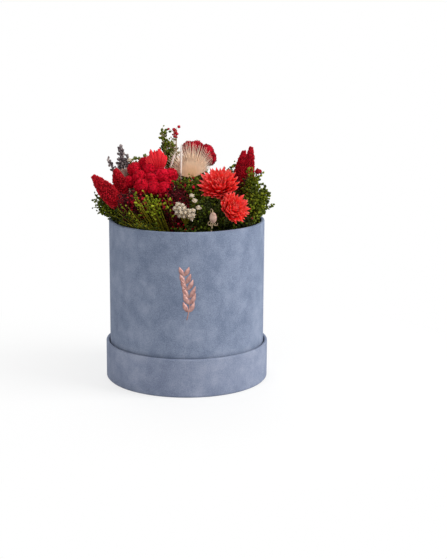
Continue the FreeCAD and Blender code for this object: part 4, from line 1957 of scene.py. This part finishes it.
@dataclass
class TendrilPod:
    """A ribbed seed pod with curling tendrils."""

    node: str = "nigella_bud"
    centre: Point = (24.0, -60.0, 167.0)
    half_length: float = 5.2
    radius: float = 3.7
    ribs: int = 5
    tendrils: int = 9
    climb: float = 0.12
    curl_radius: float = 0.36
    curl_steps: int = 14
    rib_depth: float = 0.16
    pole: float = 0.05
    seed: int = 3

    def build(self, shop: Workshop) -> None:
        """Makes the pod on its stem, with its tendrils.

        Args:
            shop: what it is made with.
        """
        chance = random.Random(self.seed)
        centre = Vector(self.centre)
        rows = 13
        sides = 30
        points = []
        for row in range(rows):
            level = math.pi * (row / (rows - 1) - 0.5)
            for side in range(sides):
                angle = 2 * math.pi * side / sides
                rib = 1 - self.rib_depth * abs(math.sin(angle * self.ribs / 2))
                radius = max(self.pole, self.radius * math.cos(level)) * rib
                step = Vector((radius * math.cos(angle), radius * math.sin(angle), 0))
                points.append(centre + step + UP * self.half_length * math.sin(level))
        parts = [shop.painted(mesh_from("pod", points, tube_faces(rows, sides)), Paint.POD)]
        foot = centre - UP * self.half_length * 0.8
        parts.append(shop.stem([shop.foot(centre), foot], 0.6, Paint.PALE_TWIG))
        curls = TwigLines()
        for index in range(self.tendrils):
            turn = 2 * math.pi * index / self.tendrils + chance.uniform(-0.3, 0.3)
            out = Vector((math.cos(turn), math.sin(turn), 0))
            rise = 1 if index % 4 == 3 else -1
            loop = chance.uniform(1.4, 2.9)
            sweep = math.pi * chance.uniform(0.8, 1.8)
            end = centre + UP * rise * self.half_length * 0.8
            line = []
            for step in range(self.curl_steps + 1):
                angle = sweep * step / self.curl_steps
                climb = loop * math.sin(angle) + step * self.climb
                line.append(end + UP * rise * climb + out * loop * (1 - math.cos(angle)))
            curls.add(line, ALL_BARE, 1.0, 0.6)
        curled = shop.grow(
            shop.twigs,
            curls.mesh(),
            Shape.BUD,
            Paint.POD,
            Seed=self.seed,
            Sides=6,
            Twig_Material=shop.paints[Paint.PALE_TWIG],
            Twig_Radius=self.curl_radius * MM,
            Bud_Gap=MM,
            Bud_Size=MM,
        )
        parts.append(curled)
        shop.piece("tendril_pod", parts, Body.ARRANGEMENT, Slot.POD, [self.node])


@dataclass
class SeedCup:
    """A dried funnel-shaped seed cup with a wavy rim."""

    node: str = "seed_cup"
    base: Point = (-58.0, 5.0, 190.0)
    top: Point = (-60.3, 5.0, 203.0)
    radius: float = 4.6
    waves: int = 7
    wave_share: float = 0.1
    wave_height: float = 0.9

    def build(self, shop: Workshop) -> None:
        """Makes the cup on its stem.

        Args:
            shop: what it is made with.
        """
        way = Vector(self.top) - Vector(self.base)
        deep = way.length
        wide = self.radius
        outside = [(0.0, 0.0), (1.5, 0.2), (2.2, deep * 0.25), (3.4, deep * 0.6), (wide, deep)]
        inside = [(wide - 0.5, deep), (2.9, deep * 0.65), (1.4, deep * 0.4), (0.0, deep * 0.33)]
        points, faces = spun_points(outside + inside, 28)
        waved = []
        for x, y, z in points:
            swing = math.sin(math.atan2(y, x) * self.waves) * max(0.0, z / deep) ** 2
            wider = 1 + self.wave_share * swing
            waved.append((x * wider, y * wider, z + self.wave_height * swing))
        cup = placed(shop.painted(mesh_from("cup", waved, faces), Paint.POD), self.base, way)
        stem = shop.stem([shop.foot(self.base), Vector(self.base) + way * 0.1], 0.9, Paint.PALE_TWIG)
        shop.piece("seed_cup_dried", [cup, stem], Body.ARRANGEMENT, Slot.POD, [self.node])


@dataclass
class Studio:
    """A pale floor, soft lamps and the camera."""

    camera: Point = (0.0, -1209.1, 368.6)
    tilt_down: float = 12.73
    lens: float = 81.8
    shift: float = 0.0657
    floor_half: float = 4000.0
    floor_drop: float = 0.2
    floor_grey: float = 0.86
    fade_from: float = 0.1
    fade_to: float = 0.32
    near_glow: float = 0.7
    ambient: float = 0.45
    lamps: tuple[tuple[str, Point, float, float], ...] = (
        ("key", (1380, -360, 1080), 1.0, 26.0),
        ("fill", (-400, -1100, 1250), 1.2, 7.0),
        ("back", (-200, 1100, 1200), 1.0, 7.0),
    )
    target: Point = (0, 0, 130)

    def cleared(self, owner: bpy.types.World | bpy.types.Material) -> Nodes:
        """The emptied node tree of a world or a material.

        Args:
            owner: what the tree belongs to.

        Returns:
            Its nodes.
        """
        owner.use_nodes = True
        owner.node_tree.nodes.clear()
        return Nodes(owner.node_tree)

    def seen_directly(self, nodes: Nodes) -> Socket:
        """A value that is 1 for rays that show the background: camera, glossy and transmission rays.

        Args:
            nodes: the tree that it is for.

        Returns:
            The value socket.
        """
        path = nodes.node("ShaderNodeLightPath").outputs
        value = path["Is Camera Ray"]
        for name in ("Is Glossy Ray", "Is Transmission Ray"):
            value = nodes.out("ShaderNodeMath", {0: value, 1: path[name]}, operation="MAXIMUM")
        return value

    def mixed(self, nodes: Nodes, share: Socket, first: Socket, second: Socket, output: str) -> None:
        """Ends a tree in a mix of two shaders, with the second one's share and the output's type name."""
        mix = nodes.out("ShaderNodeMixShader", {0: share, 1: first, 2: second})
        nodes.node(output, {"Surface": mix})

    def world(self) -> None:
        """White behind everything, and an even soft light on the object."""
        world = bpy.data.worlds.new("studio")
        bpy.context.scene.world = world
        nodes = self.cleared(world)
        lights = []
        for strength in (self.ambient, 1.0):
            inputs = {"Color": linear(WHITE), "Strength": strength}
            lights.append(nodes.out("ShaderNodeBackground", inputs))
        self.mixed(nodes, self.seen_directly(nodes), *lights, "ShaderNodeOutputWorld")

    def floor(self) -> None:
        """A wide floor that keeps the object's soft shadow and turns white away from it."""
        half = self.floor_half
        low = -self.floor_drop
        corners = [(-half, -half, low), (half, -half, low), (half, half, low), (-half, half, low)]
        mesh = mesh_from("floor", corners, [[0, 1, 2, 3]])
        material = bpy.data.materials.new("pale_floor")
        nodes = self.cleared(material)
        dull = nodes.out("ShaderNodeBsdfDiffuse", {"Color": (*[self.floor_grey] * 3, 1.0)})
        glow = nodes.out("ShaderNodeEmission")
        place = nodes.node("ShaderNodeTexCoord").outputs["Object"]
        far = nodes.node("ShaderNodeVectorMath", {0: place}, operation="LENGTH").outputs["Value"]
        fade = nodes.spread(far, self.fade_from, self.fade_to, self.near_glow, 1.0)
        share = nodes.out("ShaderNodeMath", {0: self.seen_directly(nodes), 1: fade}, operation="MULTIPLY")
        self.mixed(nodes, share, dull, glow, "ShaderNodeOutputMaterial")
        mesh.materials.append(material)
        piece = added("floor", mesh)

    def lamp(self, name: str, place: Point, size: float, power: float) -> None:
        """A soft square lamp that faces the object.

        Args:
            name: its name.
            place: its place in millimetres.
            size: its side in metres.
            power: its power in watts.
        """
        data = bpy.data.lights.new(name, "AREA")
        data.size = size
        data.energy = power
        lamp = added(name, data)
        lamp.location = Vector(place) * MM
        lamp.rotation_euler = (Vector(self.target) - Vector(place)).to_track_quat("-Z", "Y").to_euler()

    def build(self) -> None:
        """Sets up the whole studio."""
        self.world()
        self.floor()
        for lamp in self.lamps:
            self.lamp(*lamp)
        data = bpy.data.cameras.new("camera")
        data.lens = self.lens
        data.shift_x = self.shift
        camera = added("camera", data)
        camera.location = Vector(self.camera) * MM
        camera.rotation_euler = (math.radians(90 - self.tilt_down), 0.0, 0.0)
        bpy.context.scene.camera = camera
        bpy.context.scene.view_settings.view_transform = "Standard"
        LOG.info("studio set")


RED_SPIKES = (Paint.SPIKE, Paint.RED_TWIG, Slot.SPIKE)
DEEP_SPIKES = (Paint.DEEP_SPIKE, Paint.RED_TWIG, Slot.SPIKE)
LAVENDER = (Paint.LAVENDER, Paint.DARK_TWIG, Slot.LAVENDER)

SPIKES = (
    GrainSpike("spike_outer_left", (-64, -24, 173), (-87.5, -24, 200), 18, 700, 2.2, *RED_SPIKES, 11),
    GrainSpike("spike_inner_left", (-60.5, -10, 181), (-67.5, -10, 204.5), 14.5, 480, 2.2, *RED_SPIKES, 12),
    GrainSpike("spike_right_short", (51, 21, 180), (55.4, 21, 218), 15, 620, 2.0, *DEEP_SPIKES, 13),
    GrainSpike("spike_right_tall", (56, 5, 180), (61.8, 5, 223.5), 14, 660, 2.0, *DEEP_SPIKES, 14),
    GrainSpike("lavender_left", (-68.5, 13, 196), (-75.5, 13, 212.5), 5.5, 30, 2.6, *LAVENDER, 15, 0.6),
    GrainSpike("lavender_tall", (-62.5, 18, 197), (-63.5, 18, 223), 8.5, 64, 3.2, *LAVENDER, 16, 0.6),
    GrainSpike("lavender_inner", (-57.5, 18, 199), (-58, 18, 215), 6, 32, 2.6, *LAVENDER, 17, 0.6),
)

CREST = (Paint.CREST, Paint.CREST_GRAIN)
DEEP_CREST = (Paint.DEEP_CREST, Paint.DEEP_CREST_GRAIN)

COCKSCOMBS = (
    Cockscomb(
        "cockscomb_left",
        (-46, -8, 181),
        ((-49.7, -1, 203.4, 7.6), (-54, -8, 192.5, 6.5), (-42.3, -21, 190, 7.8), (-44.5, -10, 197, 7.4)),
        *CREST,
        21,
    ),
    Cockscomb(
        "cockscomb_centre",
        (-33, -8, 181),
        ((-40.2, 4, 208, 7), (-35.1, -5, 203.3, 7.4), (-31, -22, 188.5, 7.2), (-33, -14, 195.5, 7.8)),
        *CREST,
        22,
    ),
    Cockscomb(
        "cockscomb_right",
        (-20, -6, 181),
        ((-24.3, -12, 199, 8.2), (-14.8, -8, 199, 7), (-22, -22, 187.5, 7.4), (-20, -11, 191, 8.4)),
        *CREST,
        23,
        comb=CombFan((-25.5, -4, 196), 27.5),
    ),
    Cockscomb(
        "cockscomb_back",
        (15, 35, 195),
        (
            (2.5, 37, 218.3, 8.2),
            (9.5, 40, 218.6, 8),
            (18.8, 35, 215.6, 8.3),
            (21.8, 33, 210, 7.6),
            (12.5, 31, 206, 8.2),
        ),
        *DEEP_CREST,
        24,
    ),
)

STRAWFLOWERS = (
    Strawflower("strawflower_upper", (32, -20, 184), (-0.14, -0.68, 0.72), 20.8, 31, 60.0),
    Strawflower("strawflower_lower", (38.5, -44, 170), (0.46, -0.78, 0.42), 17.4, 32, 54.0),
)

PALM_LEAF = PalmLeaf(
    "palm_fan",
    (5, 7, 194),
    34.5,
    (((-16.4, 4, 202.5), (-11.2, 6, 218.5)), ((-5.8, 0, 193), (-5.0, 2, 228))),
)

PAPERY_BUDS = (
    PaperyBuds(
        "immortelle_buds_dried",
        (8, -45, 150),
        ((4.8, -52, 186, 2.6), (7.1, -55, 181.9, 3.0), (10.5, -58, 176, 2.9)),
        61,
        ("immortelle_buds",),
    ),
    PaperyBuds(
        "immortelle_cluster_dried",
        (-1, -56, 158),
        (
            (-8, -61, 179.5, 2.8),
            (-4, -61.5, 178.5, 2.6),
            (-10.5, -62, 176, 2.6),
            (-6.3, -63.5, 176, 2.8),
            (-2.4, -63, 176, 2.6),
            (-9, -62.5, 172.5, 2.6),
            (-5.2, -64.5, 172.6, 2.8),
            (-1.2, -64.2, 172.4, 2.7),
            (2.4, -63.5, 173.6, 2.8),
            (5.8, -62.5, 174, 2.6),
            (5.6, -62.5, 170, 2.7),
            (2, -64, 169.6, 2.8),
            (-2.4, -63.6, 168.9, 2.6),
            (-6.4, -63, 169.4, 2.5),
            (4.2, -62, 166.8, 2.4),
        ),
        62,
        ("immortelle_cluster",),
        opening=82.0,
    ),
    PaperyBuds("pale_ball", (-53, 12, 198), ((-55.3, 12, 210.6, 2.8),), 63, slot=Slot.POD),
    PaperyBuds(
        "green_balls",
        (-45, 16, 196),
        ((-49.8, 15, 212.2, 2.8), (-46, 17, 211.5, 2.4), (-40.6, 18, 214.2, 2.6)),
        64,
        paint=Paint.GREEN_BALL,
        slot=Slot.GREEN_BROOM,
    ),
)

BUD = Shape.BUD
BEAD = Shape.BEAD
LONG_BUD = Shape.LONG_BUD
GREEN = Paint.GREEN_LEAF
# Painted shade: the darker green for low and inner tufts.
SHADED = Paint.DARK_LEAF
BERRY = Paint.BRIGHT_BUD

SPRAYS = (
    Spray(
        "broom_top",
        (-14, 24, 172),
        Paint.PALE_TWIG,
        41,
        (
            Tuft((-22.5, 25, 234), (3, 3, 4), 9, GREEN, 2.8, 3.0, 0.82, BUD, 2, 4.0),
            Tuft((-11, 25, 236), (2.5, 3, 3), 7, BERRY, 2.4, 3.4, 0.86, BEAD, 1, 4.0),
            Tuft((-17, 25, 218), (7.5, 7, 10), 32, GREEN, 2.8, 2.8, 0.6, BUD, 2, 6.0),
            Tuft((-12, 22, 197), (10, 7, 8), 30, SHADED, 2.6, 2.8, 0.5, BUD, 3, 6.0),
        ),
    ),
    Spray(
        "broom_right_upper",
        (60, -4, 168),
        Paint.OLIVE_TWIG,
        42,
        (
            Tuft((62, -12, 193), (6, 5, 12), 34, GREEN, 2.6, 2.6, 0.55, BUD, 3, 6.0),
            Tuft((67, -14, 201), (1, 1, 1), 2, BERRY, 4.0, 6.0, 0.92, BEAD, 1, 2.0),
            Tuft((56, -9, 187), (6, 5, 9), 22, Paint.RED_BUD, 2.4, 2.8, 0.55, BUD, 3, 6.0),
        ),
    ),
    Spray(
        "broom_right",
        (46, -18, 142),
        Paint.DARK_TWIG,
        43,
        (
            Tuft((66, -18, 175), (12, 15, 15), 125, GREEN, 2.8, 2.3, 0.45, BUD, 4, 5.0),
            Tuft((50, -38, 158), (15, 12, 7), 45, SHADED, 2.6, 2.4, 0.4, BUD, 3, 6.0),
            Tuft((58, -36, 168), (10, 8, 10), 4, BERRY, 2.6, 8.0, 0.85, BEAD, 1, 2.0),
        ),
    ),
    Spray(
        "broom_edge_left",
        (-48, 5, 142),
        Paint.DARK_TWIG,
        44,
        (Tuft((-77, -4, 171), (11, 11, 10), 90, GREEN, 2.3, 2.4, 0.45, BUD, 3, 5.0),),
    ),
    Spray(
        "broom_front_left",
        (-15, -38, 138),
        Paint.OLIVE_TWIG,
        45,
        (
            Tuft((-36, -54, 178), (26, 7, 13), 38, Paint.LIME_BUD, 2.8, 4.6, 0.85, LONG_BUD, 0, 6.0),
            Tuft((-58, -46, 166), (13, 9, 9), 32, SHADED, 2.2, 3.4, 0.75, BUD, 1, 4.0),
            Tuft((-46, -60, 159), (24, 6, 6), 26, SHADED, 2.2, 4.0, 0.85, BUD, 0, 5.0),
            Tuft((-36, -36, 155), (22, 12, 9), 70, Paint.SHADE_LEAF, 2.6, 2.8, 0.5, BUD, 3, 6.0),
        ),
        gather=0.45,
        arch=0.03,
    ),
    Spray(
        "red_broom_centre",
        (-8, -36, 138),
        Paint.RED_TWIG,
        46,
        (
            Tuft((-9, -45, 175), (14, 11, 15), 120, Paint.RED_BUD, 2.0, 3.0, 0.4, BUD, 2, 5.0),
            Tuft((-8, -24, 184), (11, 8, 9), 50, Paint.RED_BUD, 2.2, 3.0, 0.5, BUD, 2, 5.0),
            Tuft((0, -55, 158), (10, 6, 6), 12, BERRY, 2.2, 5.0, 0.7, BUD, 1, 4.0),
            Tuft((-20, -40, 180), (11, 8, 7), 16, BERRY, 2.2, 5.0, 0.84, BEAD, 1, 4.0),
        ),
        Slot.RED_BROOM,
        0.6,
    ),
    Spray(
        "broom_centre",
        (9, -37, 138),
        Paint.DARK_TWIG,
        47,
        (
            Tuft((13, -50, 167), (12, 12, 16), 80, SHADED, 2.4, 2.6, 0.4, BUD, 3, 6.0),
            Tuft((4, -22, 189), (14, 7, 8), 48, GREEN, 2.4, 2.6, 0.6, BUD, 3, 6.0),
            Tuft((24, -36, 164), (16, 10, 12), 70, SHADED, 2.4, 2.6, 0.4, BUD, 3, 6.0),
            Tuft((6, -24, 191), (12, 6, 6), 8, BERRY, 2.2, 6.0, 0.85, BEAD, 1, 4.0),
            Tuft((6, -57, 152), (20, 8, 8), 50, SHADED, 2.4, 2.8, 0.45, BUD, 3, 6.0),
        ),
        gather=0.5,
    ),
    Spray(
        "red_broom_left",
        (-42, -33, 146),
        Paint.RED_TWIG,
        48,
        (
            Tuft((-52, -43, 177), (13, 9, 9), 60, Paint.RED_BUD, 2.4, 2.8, 0.5, BUD, 3, 6.0),
            Tuft((-46, -43, 179), (15, 8, 8), 20, BERRY, 2.2, 5.0, 0.84, BEAD, 1, 4.0),
        ),
        Slot.RED_BROOM,
    ),
    Spray(
        "broom_back_left",
        (-32, 28, 140),
        Paint.DARK_TWIG,
        49,
        (
            Tuft((-44, 40, 183), (25, 19, 22), 130, GREEN, 3.0, 2.8, 0.45, BUD, 3, 8.0),
            Tuft((-20, 50, 170), (10, 12, 16), 44, GREEN, 3.0, 2.8, 0.45, BUD, 3, 8.0),
        ),
        gather=0.4,
    ),
    Spray(
        "broom_back_right",
        (36, 30, 140),
        Paint.DARK_TWIG,
        50,
        (
            Tuft((50, 44, 179), (22, 18, 19), 120, GREEN, 3.0, 2.8, 0.45, BUD, 3, 8.0),
            Tuft((28, 36, 168), (14, 14, 12), 40, SHADED, 2.8, 2.8, 0.45, BUD, 3, 8.0),
        ),
        gather=0.4,
    ),
    Spray(
        "broom_back_middle",
        (2, 42, 140),
        Paint.DARK_TWIG,
        51,
        (Tuft((4, 58, 179), (22, 12, 18), 115, GREEN, 3.0, 2.8, 0.45, BUD, 3, 8.0),),
        gather=0.4,
    ),
    Spray(
        "broom_heart",
        (18, -2, 140),
        Paint.DARK_TWIG,
        52,
        (
            Tuft((20, 0, 163), (26, 15, 14), 130, GREEN, 2.8, 2.8, 0.45, BUD, 3, 7.0),
            Tuft((-8, 8, 160), (14, 12, 12), 50, SHADED, 2.8, 2.8, 0.45, BUD, 3, 7.0),
        ),
        gather=0.6,
    ),
    Spray(
        "broom_side_right",
        (48, 14, 140),
        Paint.DARK_TWIG,
        53,
        (Tuft((60, 13, 168), (11, 12, 14), 80, GREEN, 2.8, 2.6, 0.45, BUD, 3, 6.0),),
        gather=0.4,
    ),
    Spray(
        "broom_side_left",
        (-46, 22, 140),
        Paint.DARK_TWIG,
        54,
        (Tuft((-58, 27, 168), (12, 12, 14), 80, GREEN, 2.8, 2.6, 0.45, BUD, 3, 6.0),),
        gather=0.4,
    ),
)


def main() -> None:
    """Builds every sub-assembly in order."""
    logging.basicConfig(level=logging.INFO, format="%(message)s")
    # The noise library starts from the clock unless it is seeded.
    noise.seed_set(FOLD_SEED)
    Studio().build()
    drum_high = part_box("drum_suede_wrap")[1]
    drum_radius = drum_high[0] / MM
    box = HatBox()
    crowd = Crowd(drum_radius - box.drum_wall - RIM_GAP, drum_high[2] / MM + RIM_GAP)
    shop = Workshop(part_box("foam_upper")[1][2] / MM, crowd)
    box.build(shop)
    FoilSprig(drum_radius).build(shop)
    heads = (*SPIKES, *COCKSCOMBS, *STRAWFLOWERS)
    for head in heads:
        head.claim(crowd)
    for plant in (*heads, PALM_LEAF, *PAPERY_BUDS, TendrilPod(), SeedCup(), *SPRAYS):
        plant.build(shop)
    shop.close()


if __name__ == "__main__":
    main()
